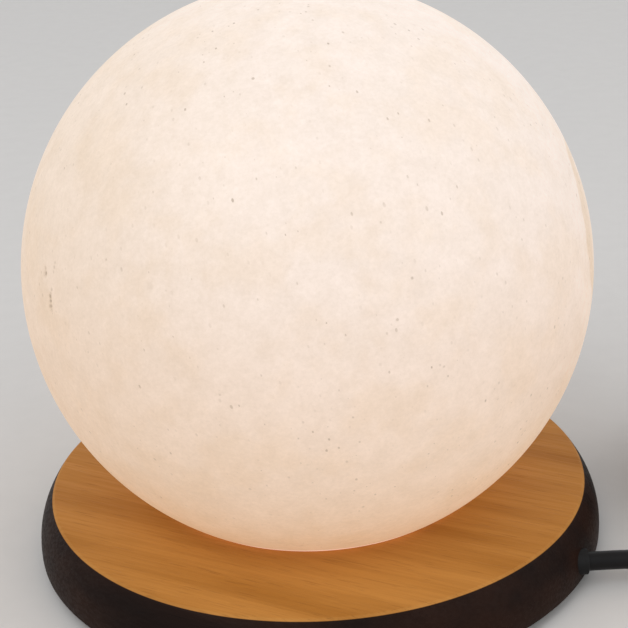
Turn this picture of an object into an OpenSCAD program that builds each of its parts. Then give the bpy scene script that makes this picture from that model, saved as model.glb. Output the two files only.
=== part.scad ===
// Ball-shaped stone lamp on a turned wooden base, with a mains lead.
// The origin is on the table under the middle of the base, and +Z is up.
// The feet stand at z = 0, the viewer looks along +Y and the lead leaves towards +X.

/* [Stone sphere] */
// Diameter of the stone sphere
sphere_d = 150; // [146:0.5:156]
// Diameter of the flat ground on the underside of the sphere
sphere_flat_d = 87.6; // [80:0.2:94]
// Diameter of the blind bore that takes the bulb
bore_d = 42; // [40:0.5:46]
// Depth of the blind bore, from the flat
bore_depth = 96; // [95:1:105]
// Width of the broken edge at the mouth of the bore
bore_break = 1.5; // [0.5:0.1:2.5]

/* [Wooden base] */
// Greatest diameter of the turned base
base_d = 157; // [154:0.5:164]
// Thickness of the base
base_t = 15; // [15:0.25:18]
// Radius of the bulging edge
edge_r = 21.5; // [18:0.5:30]
// Height of the widest point of the edge above the underside
edge_rise = 1.5; // [0:0.25:3]
// Width of the small bevel round the top
rim_bevel = 0.5; // [0.2:0.1:1]
// Width of the ledge that the edge of the bottom cover rests on
cover_ledge = 5.8; // [5.6:0.1:6.4]
// Thickness of the wood left above the cavity
web_t = 5; // [4:0.25:5.5]

/* [Bottom cover and feet] */
// Diameter of the bottom cover
cover_d = 113.6; // [112:0.2:116]
// Thickness of the bottom cover
cover_t = 1.5; // [1:0.1:1.8]
// Diameter of the shank of a cover screw
cover_screw_d = 2.8; // [2.2:0.1:3]
// Diameter of the head of a cover screw
cover_screw_head_d = 5; // [4.4:0.1:5.4]
// Length of a cover screw
cover_screw_l = 9; // [6:0.5:10]
// Height of a rubber foot
foot_h = 3; // [2.5:0.25:3.25]
// Diameter of a rubber foot
foot_d = 13; // [10:0.5:15]
// Distance of each foot from the axis
foot_pitch_r = 67.5; // [66:0.5:69]

/* [Locating dish and threaded tube] */
// Thickness of the sheet of the locating dish
dish_t = 1.2; // [0.8:0.1:1.6]
// Height of the locating dish
dish_h = 6; // [4:0.5:8]
// Outer diameter of the threaded tube
tube_d = 10; // [9:0.25:10.5]
// Inner diameter of the threaded tube
tube_bore_d = 7; // [6.5:0.25:7.5]
// Distance across the flats of the nut
nut_af = 14; // [13:0.5:16]
// Thickness of the nut
nut_t = 2.6; // [2:0.1:3]
// Diameter of the washer
washer_d = 18; // [17:0.5:20]
// Thickness of the washer
washer_t = 1; // [0.8:0.1:1.2]

/* [Lamp holder] */
// Diameter of the lamp holder
holder_d = 28; // [27:0.5:30]
// Height of the holder's cap
cap_h = 19; // [18:0.5:22]
// Wall of the holder's cap and sleeve
holder_wall = 1.6; // [1.2:0.1:1.8]
// Height of the holder's sleeve above its cap
sleeve_h = 24; // [23:0.5:26]
// Number of grip ribs round the sleeve
grip_ribs = 24; // [12:1:30]
// Inner diameter of the screw shell
shell_d = 14.06; // [14:0.02:14.2]
// Sheet thickness of the screw shell
shell_t = 0.35; // [0.3:0.05:0.5]
// Height of the screw shell
shell_h = 18; // [16:0.5:19]

/* [Bulb] */
// Diameter of the bulb's screw cap
screw_cap_d = 13.86; // [13.8:0.02:13.9]
// Height of the bulb's screw cap
screw_cap_h = 17; // [15:0.5:18]
// Greatest diameter of the glass
glass_d = 26; // [22:0.5:27]
// Height of the glass above the screw cap
glass_h = 33; // [30:0.5:34]
// Diameter of the neck of the glass
neck_d = 13.2; // [12:0.2:13.2]
// Wall of the glass
glass_t = 0.6; // [0.4:0.1:1]

/* [Mains lead] */
// Diameter of the lead
cord_d = 5; // [4.4:0.1:5]
// Diameter of each insulated core
core_d = 1.8; // [1.6:0.1:2]
// Distance between two turns of the coil
coil_pitch = 5.5; // [5.45:0.05:6]
// Turns in the coil
coil_turns = 7.5; // [6.5:1:8.5]
// Layers in the coil
coil_layers = 4; // [2:2:4]
// Width of the tie round the coil
tie_w = 9; // [6:0.5:12]
// Thickness of the tie
tie_t = 1; // [0.8:0.1:1.2]

/* [In-line switch] */
// Length of the switch
switch_l = 52; // [50:0.5:54]
// Width of the switch
switch_w = 25; // [24:0.5:26]
// Height of the switch
switch_h = 18; // [17:0.5:20]
// Wall of the switch's shells
switch_wall = 1.8; // [1.6:0.1:2]
// Length of the rocker
rocker_l = 19; // [17:0.5:20]
// Width of the rocker
rocker_w = 10.4; // [9:0.2:12]
// Angle that the rocker leans to each side
rocker_tilt = 12; // [8:1:14]

/* [Plug] */
// Length of the plug's body
plug_l = 34; // [32:0.5:36]
// Width of the plug's body at the pins
plug_w = 26; // [25:0.5:27]
// Thickness of the plug
plug_t = 14; // [13.4:0.1:14]
// Diameter of a pin
pin_d = 4; // [3.9:0.05:4.1]
// Length of a pin
pin_l = 19; // [18:0.5:19.5]
// Distance between the pins
pin_pitch = 19; // [17.5:0.1:19]
// Length of the insulating sleeve on each pin
pin_sleeve_l = 10; // [8:0.5:11]
// Length of the tapered strain relief on the plug
relief_l = 20; // [20:0.5:24]
// Number of ribs round the strain relief
relief_ribs = 6; // [4:1:6]

/* [Fits] */
// Radial gap round parts that are threaded or pressed together
thread_gap = 0.05; // [0.02:0.01:0.08]
// Gap round parts that slip over one another
slip_gap = 0.2; // [0.15:0.05:0.3]
// Gap between loose neighbours
loose_gap = 0.3; // [0.25:0.05:0.4]

/* [Hidden] */
$fn = 96;
tiny = 0.01;
cut = 1;

// Heights of the base
base_under = foot_h;
base_top = base_under + base_t;
cover_top = base_under + cover_t;
cavity_r = cover_d / 2 - cover_ledge;
cavity_top = base_top - web_t;
rim_r = base_d / 2 - edge_r + sqrt(pow(edge_r, 2) - pow(base_t - edge_rise, 2));

// Heights of the sphere
sphere_r = sphere_d / 2;
flat_r = sphere_flat_d / 2;
sphere_z = base_top + sqrt(pow(sphere_r, 2) - pow(flat_r, 2));

// Heights and radii of the lamp holder
dish_gap = 0.8;
dish_r = bore_d / 2 - dish_gap;
holder_r = holder_d / 2;
cap_z = base_top + dish_t;
cap_top = cap_z + cap_h;
boss_r = 8;
boss_h = 3;
ledge_rise = 11;
ledge_z = cap_z + ledge_rise;
spigot_h = 4;
spigot_wall = 1.4;
spigot_r = holder_r - holder_wall - thread_gap;
plinth_r = spigot_r - spigot_wall;
plinth_rise = 3;
insert_floor_z = cap_top + plinth_rise;
insert_flange_t = 1.5;
wire_room_wall = 1.6;
wire_room_r = plinth_r - wire_room_wall;
wire_floor_rise = 7;
wire_floor_z = cap_z + wire_floor_rise;
shell_r = shell_d / 2 + shell_t;
contact_t = 0.4;
contact_spring = 1.8;
contact_top = insert_floor_z + contact_t + contact_spring;
terminal_x = 6.6;
terminal_r = 1.5;
terminal_l = 5.4;
terminal_out = 1.6;
terminal_head_t = 1.2;
terminal_head_r = terminal_r + 0.6;

sleeve_step = 1.4;
sleeve_taper_h = 2;
mouth_break = 1;
mouth_gap = 1.7;
grip_h = 7;
rib_end = 0.6;
rib_r = 0.5;
shell_flange = 1.2;

// Heights and radii of the threaded tube
tube_r = tube_d / 2;
tube_below_nut = 0.8;
tube_low = cavity_top - washer_t - nut_t - tube_below_nut;
tube_short = 1;
tube_high = wire_floor_z - tube_short;

// Heights and radii of the bulb
bulb_low = contact_top + loose_gap;
tip_h = 1.2;
tip_r = 2.6;
insulator_h = 2.3;
insulator_r = 4.6;
insulator_in_cap = 1.5;
cap_chamfer = 2;
cap_low = bulb_low + tip_h + insulator_h;
cap_high = cap_low + screw_cap_h;
cap_sheet = 0.3;
cap_hem = 0.4;
cap_r = screw_cap_d / 2;
glass_in_cap = 5;
glass_low = cap_high - glass_in_cap;
glass_top = cap_high + glass_h;
glass_r = glass_d / 2;
glass_z = glass_top - glass_r;
neck_r = neck_d / 2;
glass_waist_r = 14;
stem_rise = 8;
stem_top = cap_high + stem_rise;
filament_r = 8;
filament_sweep = 110;
filament_drop = 4;
filament_z = glass_z - filament_drop;
wire_end_x = filament_r * sin(filament_sweep / 2);
wire_end_z = filament_z + filament_r * cos(filament_sweep / 2);
wire_r = 0.25;
wire_low = stem_top + wire_r;
filament_wire_r = 0.35;

// The side bore that the lead leaves through
cord_r = cord_d / 2;
cord_y = -38;
cord_z = 7.5;
bush_wall = 0.9;
bush_r = cord_r + bush_wall;
bush_out_x = 69.5;
bush_web = 0.8;
bush_in_x = sqrt(pow(cover_d / 2 + slip_gap, 2) - pow(abs(cord_y) - bush_r, 2)) + bush_web;

// The clamp that holds the lead inside the base
clamp_l = 20;
clamp_w = 7;
clamp_cord = [-2, -16, 9];
clamp_low = cover_top + 0.4;
clamp_parting = 0.2;
clamp_screw_x = 6.8;
clamp_screw_r = 1.2;
clamp_head_r = 2.2;
clamp_head_t = 1.1;
clamp_sink = 0.2;
clamp_bite = web_t - 2.6;

// Screws of the cover
cover_screw_ring_r = (cavity_r + cover_d / 2) / 2;
cover_screw_angles = [20, 110, 200, 290];
screw_room = 0.5;
slot_w = 0.5;
slot_l = 2.6;
slot_deep = 0.7;
foot_angles = [45, 135, 225, 315];
foot_draft = 0.6;
foot_rim_h = 0.8;

// Chosen points of the lead, from the base to the switch
route_to_switch = [
    [69.5, -38, 7.5], [80, -38, 7.5], [90, -38, 7], [100, -38, 5.9], [110, -38, 4.3],
    [120, -38, 3.1], [131, -38, 2.6], [143, -38, 2.5], [156, -38, 2.5], [169, -38, 2.5],
    [182, -38, 2.5], [195, -38, 2.5], [208, -38, 2.5], [220, -38, 2.5], [231, -36.5, 2.5],
    [241.5, -31.5, 2.5], [250, -24.5, 2.5], [256, -14.5, 2.5], [259.5, -4, 2.7],
    [259.5, 7.5, 3.3], [256, 18, 4.3], [250, 28, 5.7], [241.5, 35, 7], [231, 40, 7.8],
    [220, 41.5, 8], [210, 41.5, 8]
];
// Chosen points from the switch to the coil
route_to_coil = [
    [168, 41.5, 8], [160, 41.5, 8], [154, 41.5, 7.2], [148, 41.5, 5.4], [142.5, 41.5, 4.1],
    [137, 41.5, 3.8]
];
// Chosen points from the coil to the plug
route_to_plug = [
    [137, -25.5, 20.3], [141, -25.4, 20.1], [147, -26.1, 19.4], [152.5, -28.1, 18],
    [157.5, -31.4, 16], [161.5, -35.8, 13.8], [165, -41.6, 11.6], [168.5, -47.4, 9.9],
    [172.7, -51.9, 8.6], [177.8, -55.3, 7.7], [183, -57.2, 7.2], [188, -58, 7], [193, -58, 7],
    [198, -58, 7]
];
// Chosen points of the lead inside the base, from its bushing to its clamp
route_inside = [
    [69.5, -38, 7.5], [58, -38, 7.5], [46, -38, 7.5], [34, -38, 7.5], [26, -38, 7.7],
    [18, -38, 8.1], [11.2, -36.8, 8.4], [5.1, -33.6, 8.7], [0.8, -28.9, 8.9], [-1.4, -24.5, 9],
    [-2, -20.5, 9], [-2, -16, 9], [-2, -11, 9]
];
cord_sides = 8;

// The coil lies at the lead's own height on its tie
coil_x = 132;
coil_y = 8;
coil_r = 33.5;
coil_z = tie_t + loose_gap + cord_r;
coil_rings = 24;
coil_sides = 6;
coil_layer_turns = coil_turns / coil_layers;
coil_top_z = coil_z + (coil_layers - 1) * coil_pitch;
coil_steps = floor(coil_turns * coil_rings);
climb_turns = 0.5;

// Places of the switch
switch_x = 189;
switch_y = 41.5;
switch_split = 8;
switch_round = 4;
rocker_r = rocker_l / 2;
trunnion_r = 1.5;
terminal_dx = 7;
terminal_block = 5;
terminal_hole = 2.5;
terminal_hole_z = 3;
core_off = 1.1;
neutral_dy = 3.5;
switch_screw_dx = 14.7;
switch_screw_dy = 7.6;
cord_in_switch = 21;
switch_post_r = 2.6;
switch_screw_r = 1.1;
switch_screw_l = 11.5;
switch_head_r = 2.1;
switch_head_t = 1.3;
switch_sink = 0.3;
rocker_saddle_h = 3.4;
pivot_z = switch_h - rocker_saddle_h;
rocker_skirt_h = 3;
ear_w = 6;
ear_t = 1.6;

// Places of the plug
plug_x = 209;
plug_y = -58;
plug_z = plug_t / 2;
plug_face = plug_x + plug_l;
plug_nose_w = 6;
plug_taper_l = 8;
plug_corner = 4;
grip_r = 30;
grip_deep = 2.2;
grip_place = 0.55;
relief_low_r = cord_r + 0.8;
relief_high_r = cord_r + 1.9;
relief_rib_t = 1.6;
relief_rib_h = 0.5;
relief_bore_l = 9;
pin_r = pin_d / 2;
pin_neck_r = pin_r - 0.7;
pin_sleeve_r = pin_r - 0.2;
pin_root_l = 5.8;
pin_tip_l = 1;
pin_tip_in = 0.8;

function unit(v) = v / norm(v);

function tangent(p, i) = unit(p[min(i + 1, len(p) - 1)] - p[max(i - 1, 0)]);

// The sideways direction at each point of a path, carried along it without twist
function sideways(p, i, s) =
    i >= len(p)
        ? []
        : let (t = tangent(p, i), turned = unit(s - (s * t) * t))
        concat([turned], sideways(p, i + 1, turned));

// One ring of a tube round a point of its path, square to the path
function tube_ring(centre, t, s, r, sides) =
    let (u = cross(s, t))
    [
        for (k = [0:sides - 1])
            let (a = 360 * (k + 0.5) / sides) centre + r * (cos(a) * s + sin(a) * u)
    ];

// A tube swept along the points of a path, closed at both ends
module swept_tube(p, r, sides) {
    n = len(p);
    across = sideways(p, 0, cross(tangent(p, 0), [0, 0, 1]));
    points = [for (i = [0:n - 1]) each tube_ring(p[i], tangent(p, i), across[i], r, sides)];
    walls = [
        for (i = [0:n - 2], k = [0:sides - 1])
            let (
                a = i * sides + k,
                b = i * sides + (k + 1) % sides,
                c = a + sides,
                d = b + sides
            )
            each [[a, c, b], [b, c, d]]
    ];
    first_end = [for (k = [1:sides - 2]) [0, k, k + 1]];
    last = (n - 1) * sides;
    last_end = [for (k = [1:sides - 2]) [last, last + k + 1, last + k]];
    polyhedron(points, concat(walls, first_end, last_end));
}

// How far the coil has gone from the outside of its layer, in turns
function coil_inward(t) =
    let (layer = min(floor(t / coil_layer_turns), coil_layers - 1), along = t - layer * coil_layer_turns)
    layer % 2 == 0 ? along : coil_layer_turns - along;

// How many layers the coil has climbed, each in the half turn round a reversal
function coil_climb(t, layer = 1) =
    layer >= coil_layers
        ? 0
        : max(0, min(1, (t - layer * coil_layer_turns) / climb_turns + 0.5)) + coil_climb(t, layer + 1);

function coil_point(t) =
    let (a = 90 + 360 * t, r = coil_r - coil_pitch * coil_inward(t))
    [coil_x + r * cos(a), coil_y + r * sin(a), coil_z + coil_pitch * coil_climb(t)];

// The coil's path, with a straight end of one diameter at each end
coil_path = concat(
    [[coil_x + cord_d, coil_y + coil_r, coil_z]],
    [for (i = [0:coil_steps]) coil_point(coil_turns * i / coil_steps)],
    [[coil_x + cord_d, coil_y - coil_r, coil_top_z]]
);
coil_apart = min([
    for (i = [0:coil_steps], j = [i + coil_rings / 4:coil_steps])
        norm(coil_point(coil_turns * i / coil_steps) - coil_point(coil_turns * j / coil_steps))
]);
coil_length = 2 * cord_d + coil_turns * 360 * PI / 180 * (coil_r - coil_pitch * coil_layer_turns / 2);
echo(coil_least_gap = coil_apart - cord_d);
echo(coil_length = coil_length);
echo(coil_middle_width = 2 * coil_r - coil_pitch * coil_layer_turns);

// Repeats its children at each angle round the axis
module around(angles, r) {
    for (a = angles) {
        rotate([0, 0, a]) {
            translate([r, 0, 0]) {
                children();
            }
        }
    }
}

// The ring between two radii, from one height to another
module ring(low, high, outer, inner) {
    translate([0, 0, low]) {
        difference() {
            cylinder(h = high - low, r = outer);
            translate([0, 0, -cut]) {
                cylinder(h = high - low + 2 * cut, r = inner);
            }
        }
    }
}

module salt_sphere() {
    color([0.98, 0.91, 0.85]) {
        difference() {
            translate([0, 0, sphere_z]) {
                sphere(r = sphere_r);
            }
            translate([0, 0, base_top - sphere_d]) {
                cylinder(h = sphere_d, r = sphere_r);
            }
            translate([0, 0, base_top - cut]) {
                cylinder(h = bore_depth + cut, r = bore_d / 2);
            }
            translate([0, 0, base_top - tiny]) {
                cylinder(h = bore_break + tiny, r1 = bore_d / 2 + bore_break + tiny, r2 = bore_d / 2);
            }
        }
    }
}

// Half of the turned section of the base
module base_section() {
    difference() {
        intersection() {
            translate([0, base_under]) {
                square([base_d / 2, base_t]);
            }
            union() {
                translate([base_d / 2 - edge_r, base_under + edge_rise]) {
                    circle(edge_r);
                }
                translate([0, base_under]) {
                    square([base_d / 2 - edge_r, base_t]);
                }
            }
        }
        polygon([
            [rim_r - rim_bevel, base_top],
            [rim_r - rim_bevel, base_top + cut],
            [rim_r + cut, base_top + cut],
            [rim_r + cut, base_top - rim_bevel - cut]
        ]);
    }
}

module base_disc() {
    color([0.72, 0.5, 0.26]) {
        difference() {
            rotate_extrude() {
                base_section();
            }
            translate([0, 0, base_under - cut]) {
                cylinder(h = cavity_top - base_under + cut, r = cavity_r);
            }
            translate([0, 0, base_under - cut]) {
                cylinder(h = cover_t + cut, r = cover_d / 2 + slip_gap);
            }
            cylinder(h = base_top + cut, r = tube_r + slip_gap);
            around(cover_screw_angles, cover_screw_ring_r) {
                translate([0, 0, base_under]) {
                    cylinder(h = cover_screw_l + screw_room, r = cover_screw_d / 2 + thread_gap);
                }
            }
            translate([0, cord_y, cord_z]) {
                rotate([0, 90, 0]) {
                    cylinder(h = base_d, r = cord_r + slip_gap);
                }
            }
            translate([bush_in_x, cord_y, cord_z]) {
                rotate([0, 90, 0]) {
                    cylinder(h = base_d, r = bush_r + thread_gap);
                }
            }
            clamp_screw_places() {
                translate([0, 0, cavity_top - cut]) {
                    cylinder(h = cut + clamp_bite + loose_gap, r = clamp_screw_r + thread_gap);
                }
            }
        }
    }
}

module bottom_cover() {
    color([0.16, 0.14, 0.13]) {
        difference() {
            translate([0, 0, base_under]) {
                cylinder(h = cover_t, r = cover_d / 2);
            }
            around(cover_screw_angles, cover_screw_ring_r) {
                cover_screw_form(loose_gap / 2);
            }
        }
    }
}

// A countersunk screw with its head flush in the cover, grown by a gap
module cover_screw_form(gap) {
    head_r = cover_screw_head_d / 2;
    shank_r = cover_screw_d / 2;
    translate([0, 0, base_under]) {
        cylinder(h = cover_screw_l, r = shank_r + gap);
        cylinder(h = cover_t, r1 = head_r + gap, r2 = shank_r + gap);
    }
}

// A slot for a driver, sunk into a head from below
module driver_slot(l, w, deep) {
    translate([-l / 2, -w / 2, -cut]) {
        cube([l, w, cut + deep]);
    }
}

module cover_screws() {
    color([0.7, 0.68, 0.62]) {
        around(cover_screw_angles, cover_screw_ring_r) {
            difference() {
                cover_screw_form(0);
                for (a = [0, 90]) {
                    rotate([0, 0, a]) {
                        translate([0, 0, base_under]) {
                            driver_slot(slot_l, slot_w, slot_deep);
                        }
                    }
                }
            }
        }
    }
}

// Each foot is a little narrower where it stands
module rubber_feet() {
    color([0.1, 0.1, 0.1]) {
        around(foot_angles, foot_pitch_r) {
            rotate_extrude() {
                polygon([
                    [0, 0],
                    [foot_d / 2 - foot_draft, 0],
                    [foot_d / 2, foot_h - foot_rim_h],
                    [foot_d / 2, foot_h],
                    [0, foot_h]
                ]);
            }
        }
    }
}

// A corner-rounded rectangle that starts at the axis
module dish_section(r, h, corner) {
    square([r - corner, h]);
    translate([0, corner]) {
        square([r, h - corner]);
    }
    translate([r - corner, corner]) {
        circle(corner);
    }
}

module locating_dish() {
    bend_r = 2.6;
    color([0.75, 0.74, 0.7]) {
        rotate_extrude() {
            difference() {
                translate([0, base_top]) {
                    dish_section(dish_r, dish_h, bend_r);
                }
                translate([-tiny, base_top + dish_t]) {
                    dish_section(dish_r - dish_t + tiny, dish_h, bend_r - dish_t);
                }
                translate([-cut, base_top - cut]) {
                    square([tube_r + slip_gap + cut, dish_t + 2 * cut]);
                }
            }
        }
    }
}

module threaded_tube() {
    color([0.78, 0.7, 0.45]) {
        ring(tube_low, tube_high, tube_r, tube_bore_d / 2);
    }
}

module tube_nut() {
    color([0.78, 0.7, 0.45]) {
        translate([0, 0, cavity_top - washer_t - nut_t]) {
            difference() {
                cylinder(h = nut_t, r = nut_af / 2 / cos(30), $fn = 6);
                translate([0, 0, -cut]) {
                    cylinder(h = nut_t + 2 * cut, r = tube_r + thread_gap);
                }
            }
        }
    }
}

module tube_washer() {
    color([0.75, 0.74, 0.7]) {
        ring(cavity_top - washer_t, cavity_top, washer_d / 2, tube_r + slip_gap);
    }
}

module holder_cap() {
    shoulder = holder_r - boss_r;
    color([0.08, 0.08, 0.08]) {
        rotate_extrude() {
            difference() {
                union() {
                    translate([0, cap_z]) {
                        square([boss_r, cap_h]);
                    }
                    translate([0, cap_z + boss_h + shoulder]) {
                        square([holder_r, cap_h - boss_h - shoulder]);
                    }
                    intersection() {
                        translate([boss_r, cap_z + boss_h + shoulder]) {
                            circle(shoulder);
                        }
                        translate([boss_r, cap_z + boss_h]) {
                            square([shoulder, shoulder]);
                        }
                    }
                }
                translate([-cut, cap_z - cut]) {
                    square([tube_r + thread_gap + cut, cap_h + 2 * cut]);
                }
                translate([-cut, wire_floor_z]) {
                    square([wire_room_r + cut, cap_h]);
                }
                translate([-cut, ledge_z]) {
                    square([holder_r - holder_wall + cut, cap_h]);
                }
            }
        }
    }
}

// The insulating block that carries the contacts, clamped between cap and sleeve
module holder_insert() {
    color([0.9, 0.88, 0.82]) {
        difference() {
            union() {
                ring(ledge_z, cap_top - spigot_h - tiny, spigot_r, wire_room_r - wire_room_wall);
                translate([0, 0, ledge_z + insert_flange_t]) {
                    cylinder(h = insert_floor_z - ledge_z - insert_flange_t, r = plinth_r);
                }
            }
            for (x = [-terminal_x, terminal_x]) {
                translate([x, 0, ledge_z - cut]) {
                    cylinder(h = terminal_l - terminal_out + screw_room + cut, r = terminal_r + loose_gap);
                }
            }
        }
    }
}

module holder_sleeve() {
    outer_low = holder_r;
    outer_high = holder_r - sleeve_step;
    sleeve_top = cap_top + sleeve_h;
    mouth_r = cap_r + mouth_gap;
    room_r = outer_high - holder_wall;
    color([0.08, 0.08, 0.08]) {
        difference() {
            union() {
                rotate_extrude() {
                    difference() {
                        union() {
                            translate([0, cap_top - spigot_h]) {
                                square([spigot_r, spigot_h + tiny]);
                            }
                            polygon([
                                [0, cap_top],
                                [outer_low, cap_top],
                                [outer_low, cap_top + grip_h],
                                [outer_high, cap_top + grip_h + sleeve_taper_h],
                                [outer_high, sleeve_top - mouth_break],
                                [outer_high - mouth_break, sleeve_top],
                                [0, sleeve_top]
                            ]);
                        }
                        translate([-cut, cap_top - spigot_h - cut]) {
                            square([plinth_r + thread_gap + cut, spigot_h + plinth_rise + 2 * cut]);
                        }
                        translate([-cut, cap_top + plinth_rise]) {
                            square([room_r + cut, sleeve_h - plinth_rise - holder_wall]);
                        }
                        translate([-cut, cap_top]) {
                            square([mouth_r + cut, sleeve_h + cut]);
                        }
                    }
                }
                for (i = [0:grip_ribs - 1]) {
                    rotate([0, 0, 360 * i / grip_ribs]) {
                        translate([outer_low, 0, cap_top + rib_end]) {
                            cylinder(h = grip_h - 2 * rib_end, r = rib_r, $fn = 16);
                        }
                    }
                }
            }
        }
    }
}

module screw_shell() {
    color([0.83, 0.68, 0.36]) {
        difference() {
            union() {
                translate([0, 0, insert_floor_z]) {
                    cylinder(h = shell_h, r = shell_r);
                }
                translate([0, 0, insert_floor_z]) {
                    cylinder(h = shell_t, r = shell_r + shell_flange);
                }
            }
            translate([0, 0, insert_floor_z - cut]) {
                cylinder(h = shell_h + 2 * cut, r = shell_d / 2);
            }
        }
    }
}

// A riveted brass tongue that springs up under the bulb's contact
module centre_contact() {
    tongue_w = 4;
    foot_x = shell_d / 2 - 1;
    color([0.83, 0.68, 0.36]) {
        translate([0, tongue_w / 2, insert_floor_z]) {
            rotate([90, 0, 0]) {
                linear_extrude(tongue_w) {
                    polygon([
                        [-foot_x, 0],
                        [-foot_x + 3, 0],
                        [1.5, contact_top - insert_floor_z - contact_t],
                        [3, contact_top - insert_floor_z - contact_t],
                        [3, contact_top - insert_floor_z],
                        [1.2, contact_top - insert_floor_z],
                        [-foot_x + 2.8, contact_t],
                        [-foot_x, contact_t]
                    ]);
                }
            }
        }
    }
}

module terminal_screws() {
    color([0.83, 0.68, 0.36]) {
        for (x = [-terminal_x, terminal_x]) {
            translate([x, 0, ledge_z - terminal_out]) {
                difference() {
                    union() {
                        cylinder(h = terminal_l, r = terminal_r);
                        cylinder(h = terminal_head_t, r = terminal_head_r);
                    }
                    driver_slot(3 * terminal_r, slot_w, slot_deep);
                }
            }
        }
    }
}

module bulb_contact() {
    color([0.7, 0.7, 0.68]) {
        rotate_extrude() {
            intersection() {
                translate([0, bulb_low + tip_r]) {
                    circle(tip_r);
                }
                translate([0, bulb_low]) {
                    square([tip_r, tip_h]);
                }
            }
        }
    }
}

module bulb_insulator() {
    color([0.05, 0.05, 0.06]) {
        rotate_extrude() {
            polygon([
                [0, bulb_low + tip_h],
                [tip_r - slip_gap, bulb_low + tip_h],
                [insulator_r, cap_low],
                [insulator_r, cap_low + insulator_in_cap],
                [0, cap_low + insulator_in_cap]
            ]);
        }
    }
}

module bulb_screw_cap() {
    color([0.8, 0.8, 0.78]) {
        rotate_extrude() {
            difference() {
                polygon([
                    [0, cap_low],
                    [insulator_r + cap_hem, cap_low],
                    [cap_r, cap_low + cap_chamfer],
                    [cap_r, cap_high],
                    [0, cap_high]
                ]);
                polygon([
                    [-cut, cap_low - cut],
                    [insulator_r, cap_low - cut],
                    [insulator_r, cap_low + cap_hem],
                    [cap_r - cap_sheet, cap_low + cap_chamfer + slip_gap],
                    [cap_r - cap_sheet, cap_high + cut],
                    [-cut, cap_high + cut]
                ]);
            }
        }
    }
}

// Half of the pear-shaped section of the glass, drawn in by an inset
module glass_section(inset, low) {
    head_r = glass_r - inset;
    waist_r = glass_waist_r + inset;
    waist_x = neck_r + glass_waist_r;
    waist_z = glass_z - sqrt(pow(glass_r + glass_waist_r, 2) - pow(waist_x, 2));
    touch = head_r / (head_r + waist_r);
    touch_x = waist_x * touch;
    touch_z = glass_z + (waist_z - glass_z) * touch;
    translate([0, glass_z]) {
        circle(head_r);
    }
    translate([0, low]) {
        square([neck_r - inset, waist_z - low + tiny]);
    }
    difference() {
        polygon([[0, waist_z], [waist_x, waist_z], [touch_x, touch_z], [0, touch_z]]);
        translate([waist_x, waist_z]) {
            circle(waist_r);
        }
    }
}

module bulb_glass() {
    color([0.95, 0.95, 0.93, 0.35]) {
        rotate_extrude() {
            intersection() {
                difference() {
                    glass_section(0, glass_low);
                    glass_section(glass_t, glass_low - cut);
                }
                square([glass_d, glass_top + cut]);
            }
        }
    }
}

// The glass stem that closes the bulb and carries its wires
module bulb_stem() {
    color([0.9, 0.92, 0.92, 0.5]) {
        rotate_extrude() {
            polygon([
                [0, cap_high - 3],
                [neck_r - glass_t - thread_gap, cap_high - 3],
                [neck_r - glass_t - thread_gap, cap_high - 2],
                [2.4, cap_high + 2],
                [1.3, cap_high + 4],
                [1.3, stem_top],
                [0, stem_top]
            ]);
        }
    }
}

// A straight round wire between two points
module wire(from, to, r) {
    v = to - from;
    translate(from) {
        rotate([0, acos(v[2] / norm(v)), atan2(v[1], v[0])]) {
            cylinder(h = norm(v), r = r, $fn = 16);
        }
    }
}

module bulb_wires() {
    color([0.75, 0.7, 0.6]) {
        for (side = [-1, 1]) {
            wire([side * 0.9, 0, wire_low], [side * wire_end_x, 0, wire_end_z - filament_wire_r], wire_r);
        }
        wire([0, 0, wire_low], [0, 0, filament_z + filament_r - filament_wire_r], wire_r);
    }
}

module bulb_filament() {
    color([1, 0.85, 0.55]) {
        translate([0, 0, filament_z]) {
            rotate([90, 0, 0]) {
                rotate([0, 0, 90 - filament_sweep / 2]) {
                    rotate_extrude(angle = filament_sweep) {
                        translate([filament_r, 0]) {
                            circle(filament_wire_r, $fn = 16);
                        }
                    }
                }
            }
        }
    }
}

module side_bushing() {
    color([0.05, 0.05, 0.05]) {
        translate([bush_in_x, cord_y, cord_z]) {
            rotate([0, 90, 0]) {
                difference() {
                    cylinder(h = bush_out_x - bush_in_x, r = bush_r);
                    translate([0, 0, -cut]) {
                        cylinder(h = base_d, r = cord_r + thread_gap);
                    }
                }
            }
        }
    }
}

module inner_cord() {
    color([0.06, 0.06, 0.07]) {
        swept_tube(route_inside, cord_r, cord_sides);
    }
}

// One insulated core, from the end of the lead up the threaded tube to its terminal
module core(side) {
    from = [clamp_cord[0] + side * core_off, clamp_cord[1] + 5, clamp_cord[2]];
    low_z = cover_top + core_d / 2 + 0.4;
    up_x = side * 1.5;
    turn_z = wire_floor_z + 1.5;
    swept_tube([
        from,
        from + [0, 1, 0],
        from + [side * 0.2, 2.6, -1],
        [from[0] + side * 0.3, from[1] + 4.2, (from[2] + low_z) / 2 - 0.3],
        [(from[0] + up_x) / 2 + side * 0.1, from[1] + 6, low_z + 0.2],
        [up_x, -3, low_z],
        [up_x, -1.5, low_z + 0.4],
        [up_x, -0.5, low_z + 1.4],
        [up_x, -0.1, low_z + 3],
        [up_x, 0, low_z + 5],
        [up_x, 0, turn_z - 2.6],
        [up_x + side * 0.3, 0, turn_z - 1.3],
        [up_x + side * 1.3, 0, turn_z - 0.3],
        [up_x + side * 2.6, 0, turn_z],
        [side * terminal_x, 0, turn_z]
    ], core_d / 2, cord_sides);
}

module live_core() {
    color([0.45, 0.25, 0.12]) {
        core(1);
    }
}

module neutral_core() {
    color([0.1, 0.25, 0.6]) {
        core(-1);
    }
}

module clamp_screw_places() {
    for (side = [-1, 1]) {
        translate([clamp_cord[0] + side * clamp_screw_x, clamp_cord[1], 0]) {
            children();
        }
    }
}

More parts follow.
